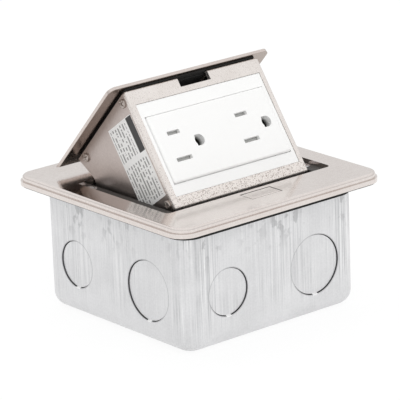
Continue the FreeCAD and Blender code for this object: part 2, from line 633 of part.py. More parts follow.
def build_latch():
    button = body("latch_button")
    half_x, half_y = "(button_width / 2 - button_fit)", "(button_depth / 2 - button_fit)"
    cap = sketch(button, "XY_Plane", f"{FLANGE_TOP} - button_cap")
    rectangle(cap, f"-{half_x}", f"-button_centre - {half_y}", half_x, f"-button_centre + {half_y}")
    pad(button, cap, "button_cap")
    fillet(button, lambda edge: at_level(edge, TOP), "button_round")
    cam = sketch(button, "YZ_Plane")
    high, low = f"({FLANGE_TOP} - button_cap / 2)", f"({BOLT_UNDER} - button_wing_gap)"
    foot = f"({low} - cam_post)"
    back, front = "-cam_thick / 2", "cam_thick / 2"
    knee = f"({FLANGE_TOP} - button_cap)"
    polygon(cam, [
        (cam_y(knee, back), high), (cam_y(knee, back), knee),
        (cam_y(low, back), low), (cam_y(low, back), foot),
        (cam_y(low, front), foot), (cam_y(low, front), low),
        (cam_y(knee, front), knee), (cam_y(knee, front), high),
    ])
    pad(button, cam, "cam_width", both=True)
    wing_out = "(button_width / 2 - button_fit + button_wing_reach)"
    wing_in = f"({wing_out} - button_wing)"
    wing_top = f"({SHEET_UNDER} - bolt_clearance)"
    wings = sketch(button, "XZ_Plane", "button_centre")
    for sign in ("-", ""):
        x_out, x_in = f"{sign}{wing_out}", f"{sign}{wing_in}"
        polygon(wings, [
            (x_in, f"{wing_top} - wing_height"), (x_out, f"{wing_top} - wing_height"), (x_out, wing_top),
            (f"{sign}{half_x}", wing_top), (f"{sign}{half_x}", high), (x_in, high),
        ])
    pad(button, wings, "wing_depth", both=True)

    bolt = body("latch_bolt")
    side = sketch(bolt, "YZ_Plane")
    polygon(side, [
        ("-bolt_back", BOLT_UNDER), (BOLT_TIP, BOLT_UNDER), (BOLT_TIP, f"{BOLT_UNDER} + bolt_nose"),
        (f"{BOLT_TIP} - bolt_thick + bolt_nose", BOLT_TOP), ("-bolt_back", BOLT_TOP),
    ])
    pad(bolt, side, "bolt_width", both=True)
    window = sketch(bolt, "YZ_Plane")
    low, high = f"({BOLT_UNDER} - 1)", f"({BOLT_TOP} + 1)"
    gap = "(cam_thick / 2 + cam_fit * sqrt(2))"
    polygon(window, [(cam_y(low, f"-{gap}"), low), (cam_y(low, gap), low),
                     (cam_y(high, gap), high), (cam_y(high, f"-{gap}"), high)])
    pocket(bolt, window, "cam_width + 2 * button_fit", both=True)

    housing = body("latch_housing")
    outer = "(bolt_width / 2 + cam_fit + housing_wall)"
    block = sketch(housing, "XY_Plane", FLANGE_BOTTOM)
    rectangle(block, f"-{outer}", "-housing_back", outer, "-housing_front")
    pad(housing, block, "housing_depth", back=True)
    fillet(housing, lambda edge: along(edge, Z_AXIS), "housing_round")
    lugs = sketch(housing, "XY_Plane", FLANGE_BOTTOM)
    rectangle(lugs, f"-{outer} - housing_lug", "-housing_screw_y - housing_lug / 2",
              f"{outer} + housing_lug", "-housing_screw_y + housing_lug / 2")
    pad(housing, lugs, "housing_lug_thick", back=True)
    way = sketch(housing, "XZ_Plane", "button_centre")
    rectangle(way, "-bolt_width / 2 - cam_fit", f"{BOLT_UNDER} - cam_fit", "bolt_width / 2 + cam_fit",
              f"{FLANGE_BOTTOM} + 1")
    pocket(housing, way, "flange_width", both=True)
    well = sketch(housing, "XY_Plane", FLANGE_BOTTOM)
    rectangle(well, "-cam_width / 2 - button_fit - cam_fit", "-housing_well_back",
              "cam_width / 2 + button_fit + cam_fit", "-housing_well_front")
    pocket(housing, well, "housing_depth - housing_floor")
    slots = sketch(housing, "XY_Plane", FLANGE_BOTTOM)
    rectangle(slots, f"-{wing_out} - button_fit", "-button_centre - wing_depth / 2 - button_fit",
              f"{wing_out} + button_fit", "-button_centre + wing_depth / 2 + button_fit")
    pocket(housing, slots, f"({FLANGE_BOTTOM} - ({wing_top} - wing_height - button_travel) + button_fit)")
    taps = sketch(housing, "XY_Plane", FLANGE_BOTTOM)
    circle(taps, "housing_screw_x", "-housing_screw_y", "housing_screw_size / 2 + screw_play")
    circle(taps, "-housing_screw_x", "-housing_screw_y", "housing_screw_size / 2 + screw_play")
    pocket(housing, taps, "housing_lug_thick")
    group([
        pan_screw((x, "-housing_screw_y", f"{FLANGE_BOTTOM} - housing_lug_thick"), "side_screw_head",
                  "side_screw_head_thick", "housing_screw_size",
                  "(housing_lug_thick + flange_height - flange_sheet - screw_play)", side="-1")
        for x in ("housing_screw_x", "-housing_screw_x")
    ], "latch_housing_screws")
    size = SIZES
    seat = TOP - size["flange_height"]
    floor = seat - size["housing_depth"] + size["housing_floor"]
    under = (seat - size["bolt_clearance"] - size["bolt_thick"] - size["button_wing_gap"]
             - size["cam_post"])
    wire = size["latch_wire"]
    height = under - floor - wire - 2 * size["screw_play"]
    middle = -size["cam_centre"] + size["bolt_thick"] / 2 + size["button_wing_gap"]
    spot = Placement(Vector(0, middle, floor + wire / 2 + size["screw_play"]), Rotation())
    spring = coil("button_spring", (size["latch_spring_size"] - wire) / 2, height / size["latch_turns"],
                  size["latch_turns"], wire, (0, 0), spot)
    spring.Label = "button_spring"
    NODES.append(spring)


# Raised module: drawn shut.

def lean_y(z, inset="0"):
    """The module's sloping back line in the shut frame."""
    return f"(module_back - ({MODULE_TOP} - {z}) * tan(face_lean) - ({inset}) / cos(face_lean))"


def face_point(rise, depth):
    """A point given along the face and behind it, in the shut frame."""
    y = f"({FACE_Y} - ({rise}) * sin(face_lean) + ({depth}) * cos(face_lean))"
    z = f"({FACE_Z} + ({rise}) * cos(face_lean) + ({depth}) * sin(face_lean))"
    return y, z


STUDS = [(f"{side}stud_across", along_y) for side in ("-", "") for along_y in ("-stud_front", "stud_back")]


def build_lid():
    lid = body("lid_plate", "shut")
    side = sketch(lid, "YZ_Plane")
    front, back = "(lid_front_gap - opening_front)", "(opening_back - lid_back_gap)"
    polygon(side, [(front, LID_UNDER), (f"{back} - lid_bevel", LID_UNDER), (back, FLANGE_TOP),
                   (front, FLANGE_TOP)])
    pad(lid, side, "opening_width - 2 * lid_side_gap", both=True)
    start = SIZES["lid_front_gap"] - SIZES["opening_front"]
    fillet(lid, lambda edge: at_front(edge, start), "lid_corner")
    studs = sketch(lid, "XY_Plane", LID_UNDER)
    for x, y in STUDS:
        circle(studs, x, y, "stud_size / 2")
    pad(lid, studs, "seal_thick + bracket_thick + nut_thick + stud_end", back=True)

    seal = body("lid_seal", "shut")
    sheet = sketch(seal, "XY_Plane", MODULE_TOP)
    half = "(module_width / 2 - seal_inset)"
    rectangle(sheet, f"-{half}", "-face_front + bracket_front", half, "module_back - seal_inset")
    for x, y in STUDS:
        circle(sheet, x, y, "stud_size / 2 + screw_play")
    pad(seal, sheet, "seal_thick")
    strip = sketch(seal, "XY_Plane", LID_UNDER)
    rectangle(strip, f"-{half}", "-face_front + seal_front", half, "-face_front + 2 * bracket_front")
    pad(seal, strip, "seal_thick - bezel_thick * sin(face_lean) - seal_gap", back=True)

    bracket = body("top_bracket", "shut")
    plate = sketch(bracket, "XY_Plane", MODULE_TOP)
    rectangle(plate, f"-{LINER}", "-face_front + bracket_front", LINER,
              "module_back - cover_thick - screw_play")
    for x, y in STUDS:
        circle(plate, x, y, "stud_size / 2 + screw_play")
    pad(bracket, plate, "bracket_thick", back=True)
    relief = sketch(bracket, "XY_Plane", MODULE_TOP)
    rectangle(relief, "-notch_width / 2", "-face_front", "notch_width / 2", "-face_front + notch_relief")
    pocket(bracket, relief, "bracket_thick")
    wing_low = f"({MODULE_TOP} - bracket_drop)"
    for side in ("-", ""):
        wing = sketch(bracket, "YZ_Plane", f"{side}{LINER}")
        rectangle(wing, "-bracket_wing", wing_low, lean_y(wing_low, "cover_thick + screw_play"), MODULE_TOP)
        pad(bracket, wing, "bracket_thick", back=side == "")
    rear_y, rear_z = face_point("rear_screw_rise", "rear_screw_depth")
    taps = sketch(bracket, "YZ_Plane")
    circle(taps, rear_y, rear_z, "side_screw_size / 2 + screw_play")
    pocket(bracket, taps, "module_width", both=True)

    nuts = []
    for x, y in STUDS:
        nut = DOC.addObject("Part::Prism", "Nut")
        nut.Polygon = 6
        bind(nut, "Circumradius", "nut_across / sqrt(3)")
        bind(nut, "Height", "nut_thick")
        bore = cylinder("stud_size / 2 + screw_play", "nut_thick", ("0", "0", "0"))
        cut = DOC.addObject("Part::Cut", "NutBore")
        cut.Base, cut.Tool = nut, bore
        for axis, text in zip("xyz", (x, y, f"{MODULE_TOP} - bracket_thick - nut_thick")):
            bind(cut, f"Placement.Base.{axis}", text)
        nuts.append(cut)
    group(nuts, "lid_nuts", "shut")


SIDE_SCREWS = [("side_screw_low", "side_screw_depth"), ("side_screw_high", "side_screw_depth"),
               ("rear_screw_rise", "rear_screw_depth")]


def build_side_plates():
    low = f"({FACE_Z} + bezel_thick * sin(face_lean))"
    eye_top, eye_low = "(hinge_z + arm_eye)", "(hinge_z - arm_eye)"
    outline = [
        ("(bezel_thick / cos(face_lean) + bracket_gap - face_front)", MODULE_TOP),
        (f"({FACE_Y} + bezel_thick * cos(face_lean) + bracket_gap)", low),
        (lean_y(low), low), (lean_y("arm_bottom"), "arm_bottom"), ("hinge_y", eye_low),
        ("hinge_y + arm_eye", eye_low), ("hinge_y + arm_eye", eye_top), ("hinge_y", eye_top),
        (lean_y("arm_top"), "arm_top"), ("module_back", MODULE_TOP),
    ]
    hinge_y, hinge_z, eye = SIZES["hinge_y"], SIZES["hinge_z"], SIZES["arm_eye"]

    def tip(edge):
        return along(edge, X_AXIS) and abs(edge.CenterOfMass.y - hinge_y - eye) < 0.01

    def root(edge):
        point = edge.CenterOfMass
        return along(edge, X_AXIS) and point.y < hinge_y - 2 * eye and abs(point.z - hinge_z) < 2 * eye

    def corner(edge):
        return along(edge, X_AXIS) and edge.CenterOfMass.z < hinge_z - 4 * eye

    for side, name in ((-1, "side_plate_left"), (1, "side_plate_right")):
        plate = body(name, "shut")
        profile = sketch(plate, "YZ_Plane", "module_width / 2" if side > 0 else "-module_width / 2")
        polygon(profile, outline)
        pad(plate, profile, "plate_thick", back=side > 0)
        rounds = ((tip, "arm_eye - screw_play / 10"), (root, "arm_root"), (corner, "plate_corner"))
        for test, radius in rounds:
            fillet(plate, test, radius)
        holes = sketch(plate, "YZ_Plane")
        circle(holes, "hinge_y", "hinge_z", "shaft_size / 2 + shaft_fit")
        for rise, depth in SIDE_SCREWS:
            circle(holes, *face_point(rise, depth), "side_screw_size / 2 + screw_play")
        pocket(plate, holes, "module_width + plate_thick", both=True)
        screws = [
            pan_screw((f"{'-' if side < 0 else ''}module_width / 2", *face_point(rise, depth)),
                      "side_screw_head", "side_screw_head_thick", "side_screw_size", "side_screw_reach",
                      axis="x", side=str(side))
            for rise, depth in SIDE_SCREWS
        ]
        group(screws, name.replace("plate", "screws"), "shut")


def build_rear_cover():
    cover = body("rear_cover", "shut")
    low = f"({FACE_Z} + bezel_thick * sin(face_lean))"
    front = f"({FACE_Y} + bezel_thick * cos(face_lean) + bracket_gap)"
    top = f"({MODULE_TOP} - bracket_thick - bracket_gap)"
    profile = sketch(cover, "YZ_Plane")
    polygon(profile, [
        (lean_y(top), top), (lean_y(low), low), (front, low), (front, f"{low} + cover_thick"),
        (lean_y(f"({low} + cover_thick)", "cover_thick"), f"{low} + cover_thick"),
        (lean_y(top, "cover_thick"), top),
    ])
    pad(cover, profile, f"2 * {LINER}", both=True)
    bends = [edge for edge in cover.Tip.Shape.Edges if along(edge, X_AXIS) and edge.CenterOfMass.y > 0]
    lowest = min(edge.CenterOfMass.z for edge in bends)
    fillet(cover, lambda edge: along(edge, X_AXIS) and edge.CenterOfMass.y > 0
           and edge.CenterOfMass.z < lowest + 0.1, "plate_corner")
    gland = sketch(cover, "XZ_Plane")
    rectangle(gland, "-cable_hole_width / 2", "cable_hole_rise", "cable_hole_width / 2",
              "cable_hole_rise + cable_hole_height")
    pocket(cover, gland, "module_back")


# Socket face: drawn square to the face, Z outward.

OUTLETS = [("left", "(-outlet_spacing / 2 - blade_shift)"), ("right", "(outlet_spacing / 2 - blade_shift)")]
HOT_ROW = "(insert_centre + blade_spacing / 2)"
NEUTRAL_ROW = "(insert_centre - blade_spacing / 2)"
STRAP_BACK = "(strap_depth + strap_thick)"


def centred(item, x, y, width, height):
    """Add a rectangle about a centre point."""
    rectangle(item, f"{x} - {width} / 2", f"{y} - {height} / 2", f"{x} + {width} / 2", f"{y} + {height} / 2")


def build_bezel():
    bezel = body("face_bezel", "face")
    front = sketch(bezel, "XY_Plane")
    rectangle(front, "-module_width / 2", "0", "module_width / 2", "face_height")
    pad(bezel, front, "bezel_thick", back=True)
    fillet(bezel, lambda edge: along(edge, Z_AXIS) or at_level(edge, 0), "bezel_round")
    window = sketch(bezel, "XY_Plane")
    half = "(module_width / 2 - bezel_side)"
    rectangle(window, f"-{half}", "bezel_bottom", half, "face_height - bezel_top")
    pocket(bezel, window, "bezel_thick")
    notch = sketch(bezel, "XY_Plane")
    rectangle(notch, "-notch_width / 2", "face_height - notch_depth", "notch_width / 2", "face_height + 1")
    pocket(bezel, notch, "bezel_thick")
    for side in ("-", ""):
        flange = sketch(bezel, "YZ_Plane", f"{side}{LINER}")
        slope = "tan(face_lean)"
        upper = "(face_height - bracket_thick / cos(face_lean) - bezel_flange_gap)"
        polygon(flange, [
            ("bezel_flange_low", "-bezel_thick / 2"), ("bezel_flange_low", "-bezel_thick - bezel_flange"),
            (f"{upper} - (bezel_thick + bezel_flange) * {slope}", "-bezel_thick - bezel_flange"),
            (f"{upper} - bezel_thick / 2 * {slope}", "-bezel_thick / 2"),
        ])
        pad(bezel, flange, "plate_thick", back=side == "")
    taps = sketch(bezel, "YZ_Plane")
    circle(taps, "side_screw_low", "-side_screw_depth", "side_screw_size / 2 + screw_play")
    circle(taps, "side_screw_high", "-side_screw_depth", "side_screw_size / 2 + screw_play")
    pocket(bezel, taps, "module_width", both=True)


def build_wall_plate():
    plate = body("wall_plate", "face")
    boss = sketch(plate, "XY_Plane", "-wall_plate_sink")
    half = "(module_width / 2 - bezel_side - wall_plate_fit)"
    rectangle(boss, f"-{half}", "bezel_bottom + wall_plate_fit", half,
              "face_height - bezel_top - wall_plate_fit")
    pad(plate, boss, "bezel_thick + bracket_gap - wall_plate_sink", back=True)
    lip = sketch(plate, "XY_Plane", "-bezel_thick - bracket_gap")
    rectangle(lip, f"-{half}", "bezel_bottom - wall_plate_margin", half,
              "face_height - bezel_top + wall_plate_margin")
    pad(plate, lip, "wall_plate_lip", back=True)
    opening = sketch(plate, "XY_Plane")
    centred(opening, "0", "insert_centre", "(insert_width + 2 * insert_fit)",
            "(insert_height + 2 * insert_fit)")
    pocket(plate, opening, "strap_depth")
    posts = sketch(plate, "XY_Plane", "-strap_depth")
    taps = sketch(plate, "XY_Plane", "-strap_depth")
    for x in ("-strap_screw_across", "strap_screw_across"):
        for y in ("insert_centre - strap_screw_rise", "insert_centre + strap_screw_rise"):
            circle(posts, x, y, "post_size / 2")
            circle(taps, x, y, "strap_screw_size / 2 + screw_play")
    pad(plate, posts, "strap_depth - bezel_thick - bracket_gap - wall_plate_lip / 2")
    pocket(plate, taps, "strap_screw_bite", back=True)


def build_insert():
    insert = body("receptacle_face", "face")
    block = sketch(insert, "XY_Plane", "insert_proud")
    centred(block, "0", "insert_centre", "insert_width", "insert_height")
    pad(insert, block, "strap_depth + insert_proud", back=True)
    top = SIZES["insert_proud"]
    fillet(insert, lambda edge: along(edge, Z_AXIS) or at_level(edge, top), "insert_round")
    cavity = sketch(insert, "XY_Plane", "-strap_depth")
    centred(cavity, "0", "insert_centre", "(insert_width - 2 * insert_wall)",
            "(insert_height - 2 * insert_wall)")
    pocket(insert, cavity, "strap_depth + insert_proud - insert_wall", back=True)
    slots = sketch(insert, "XY_Plane", "insert_proud")
    for _, x in OUTLETS:
        centred(slots, x, HOT_ROW, "hot_slot", "slot_gap")
        centred(slots, x, NEUTRAL_ROW, "neutral_slot", "slot_gap")
        circle(slots, f"{x} + ground_shift", "insert_centre", "ground_hole / 2")
    pocket(insert, slots, "2 * insert_wall")
    flats = sketch(insert, "XY_Plane", "insert_proud")
    for _, x in OUTLETS:
        rectangle(flats, f"{x} + ground_shift - ground_hole / 2 + ground_flat",
                  "insert_centre - ground_hole / 2", f"{x} + ground_shift", "insert_centre + ground_hole / 2")
    pocket(insert, flats, "2 * insert_wall")


def build_strap():
    strap = body("mounting_strap", "face")
    plate = sketch(strap, "XY_Plane", "-strap_depth")
    centred(plate, "0", "insert_centre", "strap_width", "strap_height")
    pad(strap, plate, "strap_thick", back=True)
    fillet(strap, lambda edge: along(edge, Z_AXIS), "strap_corner")
    cuts = sketch(strap, "XY_Plane", "-strap_depth")
    for row in (HOT_ROW, NEUTRAL_ROW):
        centred(cuts, "0", row, "2 * contact_reach", "(channel_width + strap_relief)")
    for _, x in OUTLETS:
        circle(cuts, f"{x} + ground_shift", "insert_centre", "ground_hole / 2")
    for x in ("-strap_screw_across", "strap_screw_across"):
        for y in ("insert_centre - strap_screw_rise", "insert_centre + strap_screw_rise"):
            circle(cuts, x, y, "strap_screw_size / 2 + screw_play")
    circle(cuts, "0", "insert_centre + strap_screw_rise", "terminal_size / 2 + screw_play")
    pocket(strap, cuts, "strap_thick")
    group([
        pan_screw((x, y, f"-{STRAP_BACK}"), "strap_screw_head", "side_screw_head_thick", "strap_screw_size",
                  "(strap_thick + strap_screw_bite - screw_play)", side="-1")
        for x in ("-strap_screw_across", "strap_screw_across")
        for y in ("insert_centre - strap_screw_rise", "insert_centre + strap_screw_rise")
    ], "strap_screws", "face")
    ground = pan_screw(("0", "insert_centre + strap_screw_rise", f"-{STRAP_BACK}"), "ground_terminal_head",
                       "terminal_head_thick", "terminal_size", "2 * strap_thick", side="-1")
    node(ground, "ground_terminal_screw", "face")
    tubes = []
    for _, x in OUTLETS:
        seat = (f"{x} + ground_shift", "insert_centre", f"-{STRAP_BACK} - tube_length")
        tube = DOC.addObject("Part::Cut", "GroundTube")
        tube.Base = cylinder("tube_size / 2", "tube_length", seat)
        tube.Tool = cylinder("ground_hole / 2", "tube_length", seat)
        tubes.append(tube)
    group(tubes, "ground_contacts", "face")


def build_socket_base():
    base = body("receptacle_body", "face")
    block = sketch(base, "XY_Plane", f"-{STRAP_BACK}")
    centred(block, "0", "insert_centre", "socket_body_width", "socket_body_height")
    pad(base, block, "socket_body_depth", back=True)
    rear = -(SIZES["strap_depth"] + SIZES["strap_thick"] + SIZES["socket_body_depth"])
    fillet(base, lambda edge: along(edge, Z_AXIS) or at_level(edge, rear), "socket_body_round")
    rows = sketch(base, "XY_Plane", f"-{STRAP_BACK}")
    for row in (HOT_ROW, NEUTRAL_ROW):
        centred(rows, "0", row, "2 * (contact_reach + contact_play)", "channel_width")
    pocket(base, rows, "contact_height + contact_leaf + 2 * contact_play")
    wells = sketch(base, "XY_Plane", f"-{STRAP_BACK}")
    for _, x in OUTLETS:
        circle(wells, f"{x} + ground_shift", "insert_centre", "tube_size / 2 + contact_play")
    pocket(base, wells, "tube_length + contact_play")
    for side, label in ((1, "hot_terminal_screws"), (-1, "neutral_terminal_screws")):
        level = f"(insert_centre {'+' if side > 0 else '-'} socket_body_height / 2)"
        taps = sketch(base, "XZ_Plane", f"-{level}")
        depth = f"-({STRAP_BACK} + socket_body_depth / 3)"
        for x in ("-terminal_across", "terminal_across"):
            circle(taps, x, depth, "terminal_size / 2 + screw_play")
        pocket(base, taps, "terminal_reach + screw_play", back=side > 0)
        group([
            pan_screw((x, level, depth), "terminal_head", "terminal_head_thick", "terminal_size",
                      "terminal_reach", axis="y", side=str(side))
            for x in ("-terminal_across", "terminal_across")
        ], label, "face")


def build_contacts():
    for row, label in ((HOT_ROW, "hot_contact"), (NEUTRAL_ROW, "neutral_contact")):
        contact = body(label, "face")
        level = f"({STRAP_BACK} + contact_play + contact_height)"
        strip = sketch(contact, "XY_Plane", f"-{level}")
        centred(strip, "0", row, "2 * contact_reach", "(contact_gap + 2 * contact_leaf)")
        pad(contact, strip, "contact_leaf", back=True)
        leaves = sketch(contact, "XY_Plane", f"-{level}")
        for _, x in OUTLETS:
            for sign in ("-", "+"):
                centred(leaves, x, f"({row} {sign} (contact_gap + contact_leaf) / 2)", "contact_clip",
                        "contact_leaf")
        pad(contact, leaves, "contact_height")


def build_shutters():
    for side, x in OUTLETS:
        shutter = body(f"shutter_{side}", "face")
        plate = sketch(shutter, "XY_Plane", "insert_proud - insert_wall - shutter_gap")
        rectangle(plate, f"{x} - shutter_width / 2", f"{NEUTRAL_ROW} - shutter_margin",
                  f"{x} + shutter_width / 2", f"{HOT_ROW} + shutter_travel + shutter_margin / 2")
        pad(shutter, plate, "shutter_thick", back=True)
        windows = sketch(shutter, "XY_Plane", "insert_proud")
        for row in (HOT_ROW, NEUTRAL_ROW):
            centred(windows, x, f"({row} + shutter_travel)", "(neutral_slot + slot_gap / 4)",
                    "(slot_gap * 1.3)")
        pocket(shutter, windows, "strap_depth")
        spring = body(f"shutter_spring_{side}", "face")
        arch = sketch(spring, "XY_Plane", "insert_proud - insert_wall - shutter_gap")
        wall = "(insert_centre - insert_height / 2 + insert_wall + bracket_gap)"
        crown = f"({NEUTRAL_ROW} - shutter_margin - bracket_gap)"
        polygon(arch, [
            (f"{x} - leaf_span", wall), (f"{x} - leaf_span + 2 * leaf_thick", wall),
            (x, f"{crown} - 2 * leaf_thick"), (f"{x} + leaf_span - 2 * leaf_thick", wall),
            (f"{x} + leaf_span", wall), (f"{x} + leaf_thick", crown), (f"{x} - leaf_thick", crown),
        ])
        pad(spring, arch, "shutter_thick", back=True)


def build_sticker():
    sticker = body("side_label", "face")
    sheet = sketch(sticker, "YZ_Plane", "-module_width / 2")
    rectangle(sheet, "label_low", "-label_back", "label_high", "-label_front")
    pad(sticker, sheet, "sticker_thick", back=True)


def main():
    build_box()
    build_gasket()
    build_flange()
    build_frame()
    build_fixed_screws()
    build_shaft()
    build_torsion_springs()
    build_latch()
    build_lid()
    build_side_plates()
    build_rear_cover()
    build_bezel()
    build_wall_plate()
    build_insert()
    build_strap()
    build_socket_base()
    build_contacts()
    build_shutters()
    build_sticker()
    DOC.recompute()
    for item in DOC.Objects:
        if "Invalid" in item.State or "Error" in item.State:
            raise ValueError(f"{item.Label} has not built")
    os.makedirs("parts", exist_ok=True)
    for item in NODES:
        if item.Shape.isNull() or not item.Shape.isValid():
            raise ValueError(f"{item.Label} is no valid solid")
        item.Shape.exportStep(f"parts/{item.Label}.step")
    print(len(NODES), "nodes")


main()
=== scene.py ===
"""Finishes, studio and camera for the pop-up floor socket box.

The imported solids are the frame. Each sub-assembly is a class that keeps its sizes in metres, builds the
pieces that need finer modelling than the solids have, and gives every piece its finish.
"""

import logging
import math
from dataclasses import asdict, dataclass
from enum import Enum
from functools import reduce
from typing import ClassVar

import bpy
import numpy as np
from mathutils import Matrix, Vector


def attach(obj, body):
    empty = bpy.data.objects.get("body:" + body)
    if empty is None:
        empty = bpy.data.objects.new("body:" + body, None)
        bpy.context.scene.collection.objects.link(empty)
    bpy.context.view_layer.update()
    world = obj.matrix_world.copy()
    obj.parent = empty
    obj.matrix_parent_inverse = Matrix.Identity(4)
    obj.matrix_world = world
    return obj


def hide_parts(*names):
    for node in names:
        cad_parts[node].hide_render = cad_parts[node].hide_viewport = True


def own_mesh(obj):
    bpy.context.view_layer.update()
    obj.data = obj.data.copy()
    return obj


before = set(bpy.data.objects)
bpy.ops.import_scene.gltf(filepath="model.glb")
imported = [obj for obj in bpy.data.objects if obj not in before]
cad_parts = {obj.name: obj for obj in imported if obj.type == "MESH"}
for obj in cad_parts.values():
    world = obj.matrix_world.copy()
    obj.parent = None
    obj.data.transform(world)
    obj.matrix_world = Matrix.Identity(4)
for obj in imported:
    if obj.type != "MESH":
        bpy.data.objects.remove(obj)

LOG = logging.getLogger("floor_socket_box")
SHARP_ANGLE = math.radians(38)
UP = Vector((0.0, 0.0, 1.0))
Colour = tuple[float, float, float, float]
Display = tuple[int, int, int]
Band = tuple[float, ...]
Mesh = tuple[np.ndarray, list[list[int]]]
Pair = tuple[float, float]
Place = tuple[float, float, float]
Node, Socket, Tree = bpy.types.Node, bpy.types.NodeSocket, bpy.types.NodeTree
Material = bpy.types.Material
Wired = tuple[Socket, Socket, Socket | None]


class Side(Enum):
    """The two sides of the raised module, as the sign of X."""

    LEFT = -1.0
    RIGHT = 1.0


class Finish(Enum):
    """The kinds of surface that the pieces are finished in."""

    GALVANISED = "galvanised_sheet"
    NICKEL = "nickel_plate"
    LID_NICKEL = "lid_nickel"
    SPARKLE = "sparkle_bezel"
    SIDE_STEEL = "satin_side_steel"
    CAST = "cast_frame"
    ZINC = "zinc_screws"
    NICKEL_SCREW = "nickel_screws"
    WIRE = "spring_wire"
    FOAM = "sponge_rubber"
    WHITE = "white_moulding"
    HOLE = "ground_hole_wall"
    GREY_PLASTIC = "grey_moulding"
    BLACK_PLASTIC = "black_moulding"
    BRASS = "bright_brass"
    GREEN = "green_screw"
    LABEL = "label_film"


Dressing = dict[Finish, tuple[str, ...]]


def linear(display: Display) -> Colour:
    """Turn a colour of 0 to 255 display values into linear light by the sRGB curve.

    Args:
        display: Its red, green and blue.

    Returns:
        The colour in linear light, with an alpha of 1.
    """
    share = np.array(display) / 255.0
    light = np.where(share <= 0.04045, share / 12.92, ((share + 0.055) / 1.055) ** 2.4)
    return (*light.tolist(), 1.0)


class Graph:
    """A shader node tree that is being wired up."""

    def __init__(self, tree: Tree) -> None:
        """Take the tree and clear it.

        Args:
            tree: A material's, world's or group's node tree.
        """
        self.tree = tree
        tree.nodes.clear()

    def fill(self, node: Node, inputs: dict) -> None:
        """Give a node's inputs their values.

        Args:
            node: The node.
            inputs: Values or output sockets, by the input's name or number.
        """
        for key, value in inputs.items():
            if isinstance(value, Socket):
                self.tree.links.new(value, node.inputs[key])
            else:
                node.inputs[key].default_value = value

    def add(self, kind: str, inputs: dict | None = None, **settings: object) -> Node:
        """Add one node.

        Args:
            kind: The node's type without its "ShaderNode" prefix.
            inputs: Values or output sockets for the node's inputs, by name or number.
            **settings: Properties of the node itself.

        Returns:
            The new node.
        """
        node = self.tree.nodes.new(kind if kind.startswith("Node") else f"ShaderNode{kind}")
        for name, value in settings.items():
            setattr(node, name, value)
        self.fill(node, inputs or {})
        return node

    def math(self, operation: str, *values: object, clamp: bool = False) -> Socket:
        """Add a Math node.

        Args:
            operation: The Math node's operation.
            *values: Numbers or output sockets for its inputs, in order.
            clamp: Whether the result stays within 0 and 1.

        Returns:
            The result's socket.
        """
        return self.add("Math", dict(enumerate(values)), operation=operation, use_clamp=clamp).outputs[0]

    def times(self, *values: object) -> Socket:
        """Multiply two or more numbers or sockets.

        Args:
            *values: The factors, in order.

        Returns:
            The product's socket.
        """
        return reduce(lambda product, value: self.math("MULTIPLY", product, value), values)

    def mix(self, factor: object, low: Socket | Display, high: Socket | Display) -> Socket:
        """Add a colour Mix node.

        Args:
            factor: 0 for the low colour and 1 for the high one.
            low: The colour at factor 0.
            high: The colour at factor 1.

        Returns:
            The mixed colour's socket.
        """
        low, high = (end if isinstance(end, Socket) else linear(end) for end in (low, high))
        return self.add("Mix", {0: factor, 6: low, 7: high}, data_type="RGBA").outputs[2]

    def band(self, value: object, start: float, end: float, low: float = 0.0, high: float = 1.0,
             kind: str = "SMOOTHSTEP") -> Socket:
        """Add a Map Range node that is clamped at both ends.

        Args:
            value: The socket to map.
            start: The value that maps to low.
            end: The value that maps to high.
            low: The result at start.
            high: The result at end.
            kind: How the change eases.

        Returns:
            The mapped value's socket.
        """
        inputs = {"Value": value, "From Min": start, "From Max": end, "To Min": low, "To Max": high}
        return self.add("MapRange", inputs, interpolation_type=kind).outputs[0]

    def place(self) -> Socket:
        """Return the socket of the piece's own coordinates."""
        return self.add("TexCoord").outputs["Object"]

    def group(self, tree: Tree, inputs: dict | None = None) -> Node:
        """Place a node group.

        Args:
            tree: The group.
            inputs: Values or sockets for its inputs, by name.

        Returns:
            The group node.
        """
        return self.add("Group", inputs, node_tree=tree)


def new_group(name: str, inputs: tuple[str, ...],
              outputs: tuple[str, ...]) -> tuple[Graph, Node, list[Socket]]:
    """Start a shader node group that takes and gives plain numbers.

    Args:
        name: The group's name.
        inputs: The inputs' names.
        outputs: The outputs' names.

    Returns:
        The group's graph, its output node and the sockets of its inputs.
    """
    tree = bpy.data.node_groups.new(name, "ShaderNodeTree")
    for labels, way in ((inputs, "INPUT"), (outputs, "OUTPUT")):
        for label in labels:
            tree.interface.new_socket(name=label, in_out=way, socket_type="NodeSocketFloat")
    graph = Graph(tree)
    given = graph.add("NodeGroupInput").outputs[:len(inputs)]
    return graph, graph.add("NodeGroupOutput"), given


def grain_group() -> Tree:
    """Build the grain that every finish shares.

    Returns:
        A group whose Tone is noise on the piece's own coordinates, stretched along Z and spread by the
        contrast about 0.5, and whose Height is the same noise unspread.
    """
    graph, result, (scale, contrast, detail, stretch) = new_group(
        "surface_grain", ("scale", "contrast", "detail", "stretch"), ("Tone", "Height"))
    shape = graph.add("CombineXYZ", {0: 1.0, 1: 1.0, 2: stretch}).outputs[0]
    drawn = graph.add("VectorMath", {0: graph.place(), 1: shape}, operation="MULTIPLY").outputs[0]
    noise = graph.add("TexNoise", {"Vector": drawn, "Scale": scale, "Detail": detail}).outputs["Fac"]
    spread = graph.times(graph.math("SUBTRACT", noise, 0.5), contrast)
    graph.fill(result, {"Tone": graph.math("ADD", spread, 0.5, clamp=True), "Height": noise})
    return graph.tree


